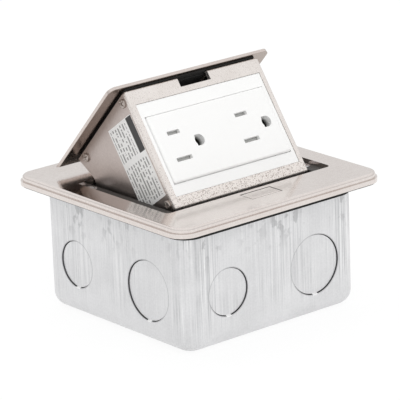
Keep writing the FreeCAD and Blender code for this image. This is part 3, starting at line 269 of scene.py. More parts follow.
def box_side_group() -> Tree:
    """Build flat coordinates for the four sides of the steel box.

    Returns:
        A group whose Along runs to the right on each side as seen from outside, Rise is the height, and Reach
        is the distance from the box's middle plane out to the side.
    """
    graph, result, _ = new_group("box_side_place", (), ("Along", "Rise", "Reach"))
    x, y, z = graph.add("SeparateXYZ", {0: graph.place()}).outputs
    far_x, far_y = graph.math("ABSOLUTE", x), graph.math("ABSOLUTE", y)
    across = graph.math("GREATER_THAN", far_x, far_y)
    on_x = graph.times(graph.math("SIGN", x), y)
    on_y = graph.times(graph.math("SIGN", y), x, -1.0)
    chosen = graph.add("Mix", {0: across, 2: on_y, 3: on_x}, data_type="FLOAT").outputs[0]
    graph.fill(result, {"Along": chosen, "Rise": z, "Reach": graph.math("MAXIMUM", far_x, far_y)})
    return graph.tree


def ring_group() -> Tree:
    """Build a pressed ring on flat coordinates.

    Returns:
        A group whose Line is 1 within Width of the circle of the given Radius, and whose Tab is 1 on the
        bridge at the circle's lowest point, which reaches Bridge to each side.
    """
    names = ("Along", "Rise", "Centre Along", "Centre Rise", "Radius", "Width", "Bridge")
    graph, result, given = new_group("pressed_ring", names, ("Line", "Tab"))
    along, rise, centre_along, centre_rise, radius, width, bridge = given
    run, lift = graph.math("SUBTRACT", along, centre_along), graph.math("SUBTRACT", rise, centre_rise)
    reach = graph.math("SQRT", graph.math("ADD", graph.times(run, run), graph.times(lift, lift)))
    off = graph.math("ABSOLUTE", graph.math("SUBTRACT", reach, radius))
    line = graph.math("LESS_THAN", off, width)
    foot = graph.math("LESS_THAN", graph.math("ABSOLUTE", run), bridge)
    graph.fill(result, {"Line": line, "Tab": graph.times(line, foot, graph.math("LESS_THAN", lift, 0.0))})
    return graph.tree


@dataclass(frozen=True)
class Tilt:
    """The raised module's sloping face: its lower front edge and its lean, at rest."""

    front_y: float = -0.03186
    front_z: float = 0.06145
    lean: float = math.radians(35.3)

    @property
    def up(self) -> Vector:
        """Return the direction up the face."""
        return Vector((0.0, math.sin(self.lean), math.cos(self.lean)))

    @property
    def back(self) -> Vector:
        """Return the direction straight into the face."""
        return Vector((0.0, math.cos(self.lean), -math.sin(self.lean)))

    @property
    def axes(self) -> tuple[np.ndarray, np.ndarray, np.ndarray]:
        """Return the directions along X, up the face and into it."""
        return np.array((1.0, 0.0, 0.0)), np.array(self.up), np.array(self.back)

    def point(self, x: float, rise: float, depth: float) -> Vector:
        """Place a point given along the face and behind it.

        Args:
            x: Distance along X.
            rise: Distance up the face from its lower edge.
            depth: Distance behind the face.

        Returns:
            The point in the row frame.
        """
        return Vector((x, self.front_y, self.front_z)) + self.up * rise + self.back * depth


TILT = Tilt()


def plate_group() -> Tree:
    """Build flat coordinates for the side plates of the raised module.

    Returns:
        A group whose Rise runs up the socket face and Depth runs behind it.
    """
    graph, result, _ = new_group("side_plate_place", (), ("Rise", "Depth"))
    corner = (0.0, TILT.front_y, TILT.front_z)
    moved = graph.add("VectorMath", {0: graph.place(), 1: corner}, operation="SUBTRACT").outputs[0]
    for name, direction in (("Rise", TILT.up), ("Depth", TILT.back)):
        dot = graph.add("VectorMath", {0: moved, 1: tuple(direction)}, operation="DOT_PRODUCT")
        graph.fill(result, {name: dot.outputs["Value"]})
    return graph.tree


@dataclass(frozen=True)
class Grain:
    """The inputs of the shared grain. A stretch under 1 draws it out along Z."""

    scale: float
    contrast: float
    detail: float = 3.0
    stretch: float = 1.0


@dataclass(frozen=True)
class Tint:
    """A colour that a grain brings in: the tones where it starts and is full, its share, and the colour."""

    start: float
    full: float
    share: float
    colour: Display


@dataclass(frozen=True)
class GrainedLook:
    """A finish that varies by one grain: two colours, a range of roughness and a bump.

    Each row of GRAINED gives its first six or seven values. Three have a painted shade colour, brought in by
    a mask.
    """

    low: Display
    high: Display
    rough: Pair
    metallic: float
    scale: float
    bump: float
    second: Display | None = None
    contrast: float = 1.6
    detail: float = 4.0
    bump_height: float = 0.0001
    cloud: Grain = Grain(45.0, 1.5, detail=2.0)


@dataclass(frozen=True)
class Masks:
    """Where three finishes turn to their second colour.

    They are the push button's middle and half sizes, a point on the raised lid's top and the lean of that
    top, and the bands of distance from the gap's middle, of height over the lid's top and of depth behind the
    face. That colour is painted shade: a shadow line in the gap round the push button, a darker lid underside
    that stands for a dark reflection, and shade that deepens down the ground holes.
    face.
    """

    button_y: float = -0.0436
    button_half: Pair = (0.0086, 0.0042)
    lid_top: Place = (0.0, 0.05358, 0.05636)
    lid_lean: float = math.radians(47.3)
    gap: Band = (0.0003, 0.00016)
    under: Band = (-0.0013, -0.0015)
    depth: Band = (0.0012, 0.0042)


@dataclass(frozen=True)
class SheetLook:
    """Drawn galvanised sheet, in the flat coordinates of the box's sides.

    Bands give a strength by the place along the side, by the patch's tone and by the height. A knockout is
    its place along the side and its radius, and its slit lies nearer the box's middle than sunk_under. Round
    each knockout the sheet carries painted light: a grey painted shade along the ring, a dark painted shade
    in the sunk slit and a white painted highlight on the bridge at its foot.
    """

    low: Display = (212, 212, 213)
    high: Display = (239, 239, 240)
    cloud: Grain = Grain(70.0, 1.6)
    skin: Grain = Grain(1100.0, 1.8)
    wide: Grain = Grain(420.0, 3.6, stretch=0.02)
    fine: Grain = Grain(1500.0, 4.2, stretch=0.012)
    patch: Grain = Grain(60.0, 4.5, stretch=0.3)
    smear: Grain = Grain(260.0, 4.5, stretch=0.7)
    corner: Band = (0.030, 0.045, 0.45, 1.0)
    patches: Band = (0.35, 0.75, 0.25, 1.0)
    foot: Band = (0.006, 0.022, 0.2, 1.0)
    high_up: Band = (0.034, 0.048)
    broad_line: Tint = Tint(0.5, 1.0, 0.34, (184, 185, 187))
    dark_line: Tint = Tint(0.55, 0.95, 0.42, (158, 159, 161))
    bright_line: Tint = Tint(0.4, 0.05, 0.7, (253, 253, 253))
    smudge: Tint = Tint(0.6, 1.1, 0.45, (138, 138, 140))
    knockouts: tuple[Pair, ...] = ((-0.0268, 0.0111), (0.0242, 0.0141))
    knockout_rise: float = 0.0248
    slit_half: float = 0.00042
    bridge_half: float = 0.0014
    sunk_under: float = 0.05074
    # Painted light on the knockouts: a grey painted shade along each ring, a dark painted shade in the sunk
    # slit and a white painted highlight on the bridge.
    edge_share: float = 0.4
    edge: Display = (150, 150, 152)
    slit_share: float = 0.85
    slit: Display = (84, 84, 87)
    bridge: Display = (250, 250, 250)
    line_height: float = 0.4
    skin_height: float = 0.3
    bump: float = 0.18
    bump_height: float = 0.0002
    rough: Pair = (0.3, 0.42)
    metallic: float = 0.6


@dataclass(frozen=True)
class BezelLook:
    """The bezel's champagne metal. Its flake is full under the lower rise and weak over the higher."""

    low: Display = (229, 222, 217)
    high: Display = (241, 235, 231)
    cells: float = 2200.0
    cloud: Grain = Grain(90.0, 1.5)
    rises: Pair = (0.009, 0.004)
    upper_share: float = 0.24
    band_share: float = 0.5
    band: Display = (244, 236, 230)
    flakes: tuple[Tint, ...] = (Tint(0.6, 1.0, 0.75, (246, 240, 235)), Tint(0.4, 0.0, 0.62, (132, 118, 109)))
    bump: float = 0.3
    bump_height: float = 0.0001
    rough: Pair = (0.26, 0.4)
    metallic: float = 0.85


@dataclass(frozen=True)
class LabelLook:
    """The label film's plain band and broken rules.

    An area is its range up the face and its range behind it. Rules lie one pitch apart and fill a share of
    it. Noise along each rule breaks it, and shifts from rule to rule.
    """

    low: Display = (242, 241, 239)
    high: Display = (251, 250, 249)
    grain: Grain = Grain(700.0, 1.4)
    header: tuple[Band, Band] = ((0.0307, 0.0477), (0.0028, 0.0072))
    header_ink: Display = (52, 50, 50)
    upper: tuple[Band, Band] = ((0.0312, 0.0468), (0.0088, 0.0215))
    lower: tuple[Band, Band] = ((0.0095, 0.0284), (0.0036, 0.0215))
    pitch: float = 0.0021
    rule_share: float = 0.4
    break_scale: float = 760.0
    break_shift: float = 7.3
    breaks: Band = (0.42, 0.47)
    ink_share: float = 0.75
    ink: Display = (74, 71, 70)
    rough: Pair = (0.38, 0.5)
    metallic: float = 0.0


GRAINED = {
    # The seventh values are painted shade: a shadow line round the push button, the lid's darker underside as
    # a dark reflection, and the dark depth of the ground holes.
    Finish.NICKEL: ((214, 204, 199), (234, 228, 224), (0.11, 0.18), 1.0, 900.0, 0.04, (52, 48, 46)),
    Finish.LID_NICKEL: ((196, 184, 178), (226, 217, 212), (0.2, 0.3), 1.0, 900.0, 0.06, (172, 160, 152)),
    Finish.SIDE_STEEL: ((178, 166, 161), (212, 202, 197), (0.3, 0.42), 1.0, 1500.0, 0.12),
    Finish.NICKEL_SCREW: ((168, 158, 152), (198, 189, 183), (0.24, 0.36), 1.0, 2500.0, 0.05),
    Finish.CAST: ((62, 60, 58), (92, 89, 86), (0.5, 0.65), 0.6, 1800.0, 0.3),
    Finish.ZINC: ((196, 196, 198), (226, 226, 228), (0.2, 0.32), 1.0, 2500.0, 0.05),
    Finish.WIRE: ((150, 148, 146), (190, 188, 186), (0.25, 0.36), 1.0, 2500.0, 0.05),
    Finish.FOAM: ((20, 20, 20), (44, 43, 42), (0.75, 0.95), 0.0, 1600.0, 0.6),
    Finish.WHITE: ((250, 250, 249), (254, 254, 253), (0.3, 0.38), 0.0, 1200.0, 0.03),
    Finish.HOLE: ((250, 250, 249), (254, 254, 253), (0.3, 0.38), 0.0, 1200.0, 0.03, (26, 25, 25)),
    Finish.GREY_PLASTIC: ((176, 176, 174), (190, 190, 188), (0.45, 0.55), 0.0, 1500.0, 0.08),
    Finish.BLACK_PLASTIC: ((24, 24, 25), (36, 36, 37), (0.4, 0.55), 0.0, 2000.0, 0.15),
    Finish.BRASS: ((206, 170, 92), (226, 194, 122), (0.22, 0.34), 1.0, 1400.0, 0.05),
    Finish.GREEN: ((26, 96, 48), (44, 122, 64), (0.3, 0.42), 0.4, 1800.0, 0.06),
}
LOOKS = {Finish.GALVANISED: SheetLook(), Finish.SPARKLE: BezelLook(), Finish.LABEL: LabelLook(),
         **{finish: GrainedLook(*row) for finish, row in GRAINED.items()}}


class FinishShop:
    """Makes each finish once and hands it out."""

    def __init__(self) -> None:
        """Build the node groups that the finishes share."""
        self.grains, self.box_side = grain_group(), box_side_group()
        self.rings, self.plate = ring_group(), plate_group()
        self.made: dict[Finish, Material] = {}

    def get(self, finish: Finish) -> Material:
        """Return the material of a finish, made on its first use.

        Args:
            finish: The finish.

        Returns:
            Its material.
        """
        if finish not in self.made:
            material = bpy.data.materials.new(finish.value)
            material.use_nodes = True
            graph, look = Graph(material.node_tree), LOOKS[finish]
            makers = {Finish.GALVANISED: self.galvanised, Finish.SPARKLE: self.sparkle,
                      Finish.LABEL: self.label}
            colour, tone, height = makers.get(finish, self.grained)(graph, finish)
            rough = graph.band(tone, 0.0, 1.0, *look.rough, kind="LINEAR")
            inputs = {"Base Color": colour, "Roughness": rough, "Metallic": look.metallic}
            if height is not None:
                bump = {"Strength": look.bump, "Distance": look.bump_height, "Height": height}
                inputs["Normal"] = graph.add("Bump", bump).outputs[0]
            shader = graph.add("BsdfPrincipled", inputs)
            graph.add("OutputMaterial", {"Surface": shader.outputs[0]})
            self.made[finish] = material
        return self.made[finish]

    @staticmethod
    def joined(graph: Graph, main: Node, minor: Node) -> Socket:
        """Add three parts of one grain's tone to two parts of another's.

        Args:
            graph: The material's graph.
            main: The grain that counts for more.
            minor: The grain that counts for less.

        Returns:
            The sum's socket, from 0 to 1.
        """
        more, less = graph.times(main.outputs["Tone"], 0.6), graph.times(minor.outputs["Tone"], 0.4)
        return graph.math("ADD", more, less)

    def second_mask(self, graph: Graph, finish: Finish) -> Socket:
        """Mask where a grained finish takes its painted shade colour.

        On the flange it is 1 in the gap round the push button, where a point's distance outside the button's
        rectangle, the larger of its distances past the rectangle's sides, is less than the gap's half width.
        On the lid it grows to 1 between 1.3 and 1.5 mm under the plane of its top, and in a ground hole it
        grows with the depth behind the face. The colour it brings in is painted shade: a shadow line in the
        button's gap, a darker lid underside for a dark reflection, and shade down the hole.

        Args:
            graph: The material's graph.
            finish: The finish.

        Returns:
            The mask's socket.
        """
        masks = Masks()
        if finish is Finish.HOLE:
            return graph.band(graph.group(self.plate).outputs["Depth"], *masks.depth)
        if finish is Finish.LID_NICKEL:
            normal = (0.0, math.sin(masks.lid_lean), math.cos(masks.lid_lean))
            moved = graph.add("VectorMath", {0: graph.place(), 1: masks.lid_top}, operation="SUBTRACT")
            over = graph.add("VectorMath", {0: moved.outputs[0], 1: normal}, operation="DOT_PRODUCT")
            return graph.band(over.outputs["Value"], *masks.under)
        x, y, _ = graph.add("SeparateXYZ", {0: graph.place()}).outputs
        from_middle = (x, graph.math("SUBTRACT", y, masks.button_y))
        past = [graph.math("SUBTRACT", graph.math("ABSOLUTE", off), half)
                for off, half in zip(from_middle, masks.button_half)]
        return graph.band(graph.math("ABSOLUTE", graph.math("MAXIMUM", *past)), *masks.gap)

    def grained(self, graph: Graph, finish: Finish) -> Wired:
        """Wire a finish of one grain.

        Args:
            graph: The material's graph.
            finish: The finish.

        Returns:
            The sockets of its colour, what its roughness follows, and its height.
        """
        look = LOOKS[finish]
        grain = graph.group(self.grains, asdict(Grain(look.scale, look.contrast, look.detail)))
        both = self.joined(graph, grain, graph.group(self.grains, asdict(look.cloud)))
        colour = graph.mix(both, look.low, look.high)
        # Painted shade, mixed in where its mask lies.
        if look.second:
            colour = graph.mix(self.second_mask(graph, finish), colour, look.second)
        return colour, both, grain.outputs["Height"]

    def galvanised(self, graph: Graph, finish: Finish) -> Wired:
        """Wire drawn galvanised sheet: a cloudy zinc skin, upright draw lines, smears, and painted shade and
        a painted highlight round the knockouts.

        Args:
            graph: The material's graph.
            finish: The finish.

        Returns:
            The sockets of its colour, what its roughness follows, and its height.
        """
        look = LOOKS[finish]
        side = graph.group(self.box_side)
        along, rise = side.outputs["Along"], side.outputs["Rise"]
        cloud, skin, wide, fine, patch, smear = (
            graph.group(self.grains, asdict(grain))
            for grain in (look.cloud, look.skin, look.wide, look.fine, look.patch, look.smear))
        both = self.joined(graph, cloud, skin)
        zone = graph.times(graph.band(graph.math("ABSOLUTE", along), *look.corner),
                           graph.band(patch.outputs["Tone"], *look.patches), graph.band(rise, *look.foot))
        high_patch = (graph.band(rise, *look.high_up), patch.outputs["Tone"])
        colour = graph.mix(both, look.low, look.high)
        for grain, tint, where in ((wide, look.broad_line, (zone,)), (fine, look.dark_line, (zone,)),
                                   (fine, look.bright_line, (zone,)), (smear, look.smudge, high_patch)):
            tone = graph.band(grain.outputs["Tone"], tint.start, tint.full)
            colour = graph.mix(graph.times(tone, *where, tint.share), colour, tint.colour)

        shared = {"Along": along, "Rise": rise, "Centre Rise": look.knockout_rise, "Width": look.slit_half,
                  "Bridge": look.bridge_half}
        rings = [graph.group(self.rings, {**shared, "Centre Along": centre, "Radius": radius})
                 for centre, radius in look.knockouts]
        line, highlight_tab = (graph.math("MAXIMUM", *(ring.outputs[name] for ring in rings))
                     for name in ("Line", "Tab"))
        # Painted shade along each knockout ring and in its sunk slit, and a painted highlight on its bridge.
        sunk = graph.math("LESS_THAN", side.outputs["Reach"], look.sunk_under)
        edge = graph.times(line, graph.math("SUBTRACT", 1.0, sunk), look.edge_share)
        slit = graph.times(line, sunk, graph.math("SUBTRACT", 1.0, highlight_tab), look.slit_share)
        for mask, shade in ((edge, look.edge), (slit, look.slit), (highlight_tab, look.bridge)):
            colour = graph.mix(mask, colour, shade)
        height = graph.math("ADD", graph.times(fine.outputs["Height"], look.line_height),
                            graph.times(skin.outputs["Height"], look.skin_height))
        return colour, both, height

    def sparkle(self, graph: Graph, finish: Finish) -> Wired:
        """Wire the bezel's champagne metal with fine flake, which is strongest on its lower band.

        Args:
            graph: The material's graph.
            finish: The finish.

        Returns:
            The sockets of its colour, what its roughness follows, and its height.
        """
        look = LOOKS[finish]
        cells = graph.add("TexVoronoi", {"Vector": graph.place(), "Scale": look.cells}, feature="F1")
        flake = graph.add("SeparateColor", {0: cells.outputs["Color"]}).outputs[0]
        rise = graph.group(self.plate).outputs["Rise"]
        tone = graph.group(self.grains, asdict(look.cloud)).outputs["Tone"]
        colour = graph.mix(tone, look.low, look.high)
        colour = graph.mix(graph.band(rise, *look.rises, 0.0, look.band_share), colour, look.band)
        coarse = graph.band(rise, *look.rises, look.upper_share, 1.0)
        for tint in look.flakes:
            driven = graph.band(flake, tint.start, tint.full, 0.0, tint.share)
            colour = graph.mix(graph.times(driven, coarse), colour, tint.colour)
        return colour, flake, flake

    def label(self, graph: Graph, finish: Finish) -> Wired:
        """Wire the blank label film: pale silver with one plain dark band and broken rules.

        Args:
            graph: The material's graph.
            finish: The finish.

        Returns:
            The sockets of its colour, what its roughness follows, and its height.
        """
        look = LOOKS[finish]
        place = graph.group(self.plate)
        rise, depth = place.outputs["Rise"], place.outputs["Depth"]

        def area(rises: Band, depths: Band) -> Socket:
            """Return 1 inside a rectangle of the label, and 0 elsewhere."""
            return graph.times(*(graph.times(graph.math("GREATER_THAN", socket, low),
                                             graph.math("LESS_THAN", socket, high))
                                 for socket, (low, high) in ((rise, rises), (depth, depths))))

        tone = graph.group(self.grains, asdict(look.grain)).outputs["Tone"]
        rule = graph.math("DIVIDE", depth, look.pitch)
        ruled = graph.math("LESS_THAN", graph.math("FRACT", rule), look.rule_share)
        along = graph.add("CombineXYZ", {0: graph.times(rise, look.break_scale),
                                         1: graph.times(graph.math("FLOOR", rule), look.break_shift)})
        noise = graph.add("TexNoise", {"Vector": along.outputs[0], "Scale": 1.0, "Detail": 1.0})
        dashed = graph.times(ruled, graph.band(noise.outputs["Fac"], *look.breaks))
        areas = graph.math("MAXIMUM", area(*look.upper), area(*look.lower))
        lines = graph.times(dashed, areas, look.ink_share)
        colour = graph.mix(lines, graph.mix(tone, look.low, look.high), look.ink)
        colour = graph.mix(area(*look.header), colour, look.header_ink)
        return colour, tone, None


def ring_quads(rows: int, sides: int, wrap: bool = False) -> np.ndarray:
    """Number the corners of the faces between rows of points, where each row is a closed ring.

    Args:
        rows: How many rows there are.
        sides: How many points each has.
        wrap: Whether the last row joins the first.

    Returns:
        Four corner numbers for each face: a point, the one under it on the next row, and the ones beside
        those.
    """
    row, side = np.arange(rows if wrap else rows - 1)[:, None], np.arange(sides)[None, :]
    here, below, after = row * sides, (row + 1) % rows * sides, (side + 1) % sides
    return np.stack([here + side, below + side, below + after, here + after], -1).reshape(-1, 4)


def swept(grid: np.ndarray) -> Mesh:
    """Close a row of equal sections into a solid, with a face over each end.

    Args:
        grid: The sections' corners, a row for each, anticlockwise as seen from the last section's end.

    Returns:
        The points and the faces.
    """
    rows, sides = grid.shape[:2]
    ends = [list(range(sides - 1, -1, -1)), list(range((rows - 1) * sides, rows * sides))]
    return grid.reshape(-1, 3), ring_quads(rows, sides)[:, [0, 3, 2, 1]].tolist() + ends


def new_piece(name: str, parts: list[Mesh], material: Material, body: str) -> bpy.types.Object:
    """Make one mesh piece from finished parts and join it to a body.

    Args:
        name: The piece's name.
        parts: The points of each part in the row frame, and its faces in outward order.
        material: The finish.
        body: The body that it rides on.

    Returns:
        The new object, which sits at the origin.
    """
    starts = np.cumsum([0, *(len(points) for points, _ in parts)]).tolist()
    faces = [[corner + start for corner in face] for start, (_, own) in zip(starts, parts) for face in own]
    mesh = bpy.data.meshes.new(name)
    mesh.from_pydata(np.concatenate([points for points, _ in parts]).tolist(), [], faces)
    mesh.update()
    mesh.polygons.foreach_set("use_smooth", np.ones(len(mesh.polygons), bool))
    mesh.set_sharp_from_angle(angle=SHARP_ANGLE)
    mesh.materials.append(material)
    piece = bpy.data.objects.new(name, mesh)
    bpy.context.scene.collection.objects.link(piece)
    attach(piece, body)
    LOG.info("made %s: %d faces, rides on %s", name, len(faces), body)
    return piece


@dataclass(frozen=True)
class CrossHeadScrew:
    """A turned screw with a cross recess in its head.

    The outline is a list of (radius, height) pairs from the middle of the head's top, out over its edge, in
    under it and down the shank to the tip. Height 0 is the seat. Its last five pairs are the top's edge, the
    head's lower edge, the shank's two ends and the tip.
    """

    outline: tuple[Pair, ...]
    recess_arm: float
    recess_width: float
    recess_depth: float
    sectors: int = 96
    spacing: float = 0.00012

    @classmethod
    def pan(cls, radius: float, thick: float, shank: float, reach: float) -> "CrossHeadScrew":
        """Return a screw with a low domed head.

        Args:
            radius: The head's radius.
            thick: The head's height over the seat.
            shank: The shank's radius.
            reach: The shank's length under the seat.

        Returns:
            The screw.
        """
        corner, sag = 0.35 * thick, 0.08 * thick
        rim = [(radius - corner + corner * math.sin(a), thick - corner + corner * math.cos(a) - sag)
               for a in np.linspace(0.0, math.pi / 2, 7)]
        shoulder, seat, tip = (0.4 * radius, 0.985 * thick), (radius, 0.0), (shank, -reach * 0.92)
        outline = ((0.0, thick), shoulder, *rim, seat, (shank, 0.0), tip, (0.0, -reach))
        return cls(outline, recess_arm=0.62 * radius, recess_width=0.2 * radius, recess_depth=0.6 * thick)

    @classmethod
    def flat(cls, radius: float, cone: float, shank: float, reach: float) -> "CrossHeadScrew":
        """Return a countersunk screw whose flat top lies at height 0.

        Args:
            radius: The head's radius.
            cone: The height of the cone under the head.
            shank: The shank's radius.
            reach: The screw's whole length.

        Returns:
            The screw.
        """
        chamfer, edge, tip = (0.9 * radius, 0.0), (radius, -0.00012), (shank, -reach * 0.94)
        outline = ((0.0, 0.0), chamfer, edge, (shank, -cone), tip, (0.0, -reach))
        return cls(outline, recess_arm=0.6 * radius, recess_width=0.17 * radius, recess_depth=0.9 * cone)

    def grid(self) -> np.ndarray:
        """Work out the screw's surface about the Z axis.

        The surface is a function of the distance t along the outline and the angle a about the axis: the
        point is (r(t) cos a, r(t) sin a, h(t) - d), where d is the recess. On the head's top, d is the
        recess's depth times the larger of two arms, one along each of X and Y. Across its line, an arm is
        full out to 0.8 of its half width and falls evenly to 0 at 1.2 of it. Along its line, it is full for a
        fifth of its length and falls evenly to 0 at its end.

        Returns:
            Points as an array of rings by sectors by 3, from the top's middle to the tip.
        """
        line = np.array(self.outline)
        run = np.concatenate([[0.0], np.cumsum(np.hypot(*np.diff(line, axis=0).T))])
        inner = np.arange(0.0, self.outline[1][0] + 1e-9, self.spacing)
        fine = np.unique(np.concatenate([run, inner]))
        radius, height = (np.interp(fine, run, line[:, part])[:, None] for part in (0, 1))
        angle = np.linspace(0.0, 2 * math.pi, self.sectors, endpoint=False)[None, :]
        x, y = radius * np.cos(angle), radius * np.sin(angle)

        def arm(along: np.ndarray, off: np.ndarray) -> np.ndarray:
            """Return the depth share of one arm at each point."""
            half = self.recess_width / 2
            edge = np.clip((half * 1.2 - np.abs(off)) / (half * 0.4), 0.0, 1.0)
            return edge * np.clip(1.25 * (1.0 - np.abs(along) / self.recess_arm), 0.0, 1.0)

        top = (fine <= run[-5])[:, None]
        sunk = np.where(top & (radius < self.recess_arm), np.maximum(arm(x, y), arm(y, x)), 0.0)
        return np.stack([x, y, height - sunk * self.recess_depth], axis=-1)

    def mesh(self, seat: Vector, axis: Vector, spin: float) -> Mesh:
        """Turn the grid into a closed mesh at a place.

        The first and last rings are single points, so each is one corner with a fan of triangles round it.

        Args:
            seat: The point where the screw's axis meets its seat.
            axis: The direction out of the head.
            spin: How far the recess is turned about the axis, in radians.

        Returns:
            The points and the faces.
        """
        grid = self.grid()
        points = np.concatenate([grid[0, :1], grid[1:-1].reshape(-1, 3), grid[-1, :1]])
        rings, tip = len(grid) - 2, len(points) - 1
        step = np.arange(self.sectors)
        after, last = (step + 1) % self.sectors, tip - self.sectors
        fan = np.stack([np.zeros_like(step), 1 + step, 1 + after], -1)
        tail = np.stack([np.full_like(step, tip), last + after, last + step], -1)
        lean = UP.rotation_difference(axis).to_matrix().to_4x4()
        place = Matrix.Translation(seat) @ lean @ Matrix.Rotation(spin, 4, "Z")
        turned = points @ np.array(place.to_3x3()).T + np.array(place.translation)
        return turned, fan.tolist() + (ring_quads(rings, self.sectors) + 1).tolist() + tail.tolist()


@dataclass(frozen=True)
class Assembly:
    """A sub-assembly. Each kind names its solids' finishes and builds what needs finer modelling."""

    shop: FinishShop
    finishes: ClassVar[Dressing] = {}

    def dress(self) -> None:
        """Give the solids their finishes."""
        for finish, nodes in self.finishes.items():
            for node in nodes:
                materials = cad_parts[node].data.materials
                materials.clear()
                materials.append(self.shop.get(finish))
                LOG.info("dressed %s in %s", node, finish.value)


@dataclass(frozen=True)
class FloorBox(Assembly):
    """The steel box, its gasket, the cast frame and what stays in the floor."""

    screw: CrossHeadScrew = CrossHeadScrew.flat(radius=0.003, cone=0.001, shank=0.002, reach=0.014)
    across: float = 0.0446
    along: float = 0.022
    top: float = 0.0608
    spin: float = 0.4
    finishes: ClassVar[Dressing] = {
        Finish.GALVANISED: ("junction_box",),
        Finish.GREEN: ("ground_screw",),
        Finish.FOAM: ("gasket",),
        Finish.CAST: ("mounting_frame",),
        Finish.ZINC: ("flange_screws", "hinge_shaft", "shaft_clip", "frame_screws"),
        Finish.WIRE: ("torsion_spring_left", "torsion_spring_right"),
    }

    def build(self) -> None:
        """Make the two countersunk screws that hold the frame to the box."""
        screws = [self.screw.mesh(Vector((sign * self.across, -sign * self.along, self.top)), UP,
                                  self.spin * sign) for sign in (-1.0, 1.0)]
        piece = new_piece("frame_screw_heads", screws, self.shop.get(Finish.ZINC), "fixed")
        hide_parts("frame_screws")


@dataclass(frozen=True)
class Rim(Assembly):
    """The nickel flange with its push button, the latch under it and the button's coil spring.

    The coil stands on an upright axis. Pressing the button would leave it the kept share of its height; kept
    is not used.
    """

    middle: Pair = (0.0, -0.04055)
    low: float = 0.0481
    high: float = 0.0521
    radius: float = 0.0017
    wire: float = 0.0003
    turns: int = 3
    steps: int = 48
    sides: int = 12
    kept: float = 0.57
    finishes: ClassVar[Dressing] = {
        Finish.NICKEL: ("flange_plate", "latch_button"),
        Finish.ZINC: ("latch_bolt", "latch_housing_screws"),
        Finish.BLACK_PLASTIC: ("latch_housing",),
        Finish.WIRE: ("button_spring",),
    }

    def coil(self) -> Mesh:
        """Work out the skin of the coil's wire.

        The middle of the wire climbs evenly as it turns: at the angle a it lies at R cos a and R sin a from
        the axis, and its height grows with a from low to high. At the angle b around the wire, the skin lies
        one wire radius off, cos b of it away from the axis and sin b of it along the cross product of the
        wire's direction and the way out.

        Returns:
            The points and the faces.
        """
        angle = np.linspace(0.0, 2 * math.pi * self.turns, self.steps * self.turns + 1)
        level, climb = np.zeros_like(angle), (self.high - self.low) / angle[-1]
        out = np.stack([np.cos(angle), np.sin(angle), level], -1)
        ahead = np.stack([-self.radius * out[:, 1], self.radius * out[:, 0], level + climb], -1)
        ahead /= np.linalg.norm(ahead, axis=1, keepdims=True)
        centre = np.array((*self.middle, self.low)) + self.radius * out
        centre[:, 2] += climb * angle
        around = np.linspace(0.0, 2 * math.pi, self.sides, endpoint=False)[None, :, None]
        cross = np.cross(ahead, out)
        return swept(centre[:, None] + self.wire * (np.cos(around) * out[:, None]
                                                    + np.sin(around) * cross[:, None]))

    def build(self) -> None:
        """Make the coil spring under the push button."""
        piece = new_piece("button_spring_wire", [self.coil()], self.shop.get(Finish.WIRE), "fixed")
        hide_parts("button_spring")
        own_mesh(piece)


@dataclass(frozen=True)
class PopUp(Assembly):
    """The raised module: lid, side plates, rear cover and label."""

    screw: CrossHeadScrew = CrossHeadScrew.pan(radius=0.0021, thick=0.001, shank=0.00125, reach=0.0024)
    plate_face: float = 0.039
    spots: tuple[Pair, ...] = ((0.0039, 0.0044), (0.0537, 0.0044), (0.045, 0.0454))
    spins: tuple[float, ...] = (0.3, 1.1, 0.7)
    finishes: ClassVar[Dressing] = {
        Finish.LID_NICKEL: ("lid_plate",),
        # The black lid seal fills the dark line under the lid's edge, so its black also stands in for the
        # shade in that gap.
        Finish.FOAM: ("lid_seal",),
        Finish.SIDE_STEEL: ("top_bracket", "side_plate_left", "side_plate_right", "rear_cover"),
        Finish.ZINC: ("lid_nuts", "side_screws_left", "side_screws_right"),
        Finish.LABEL: ("side_label",),
    }

    def build(self) -> None:
        """Make the three pan-head screws of each side plate."""
        for side in Side:
            out, name = Vector((side.value, 0.0, 0.0)), side.name.lower()
            screws = [self.screw.mesh(TILT.point(side.value * self.plate_face, *spot), out, spin)
                      for spot, spin in zip(self.spots, self.spins)]
            piece = new_piece(f"side_screw_heads_{name}", screws, self.shop.get(Finish.NICKEL_SCREW), "popup")
            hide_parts(f"side_screws_{name}")


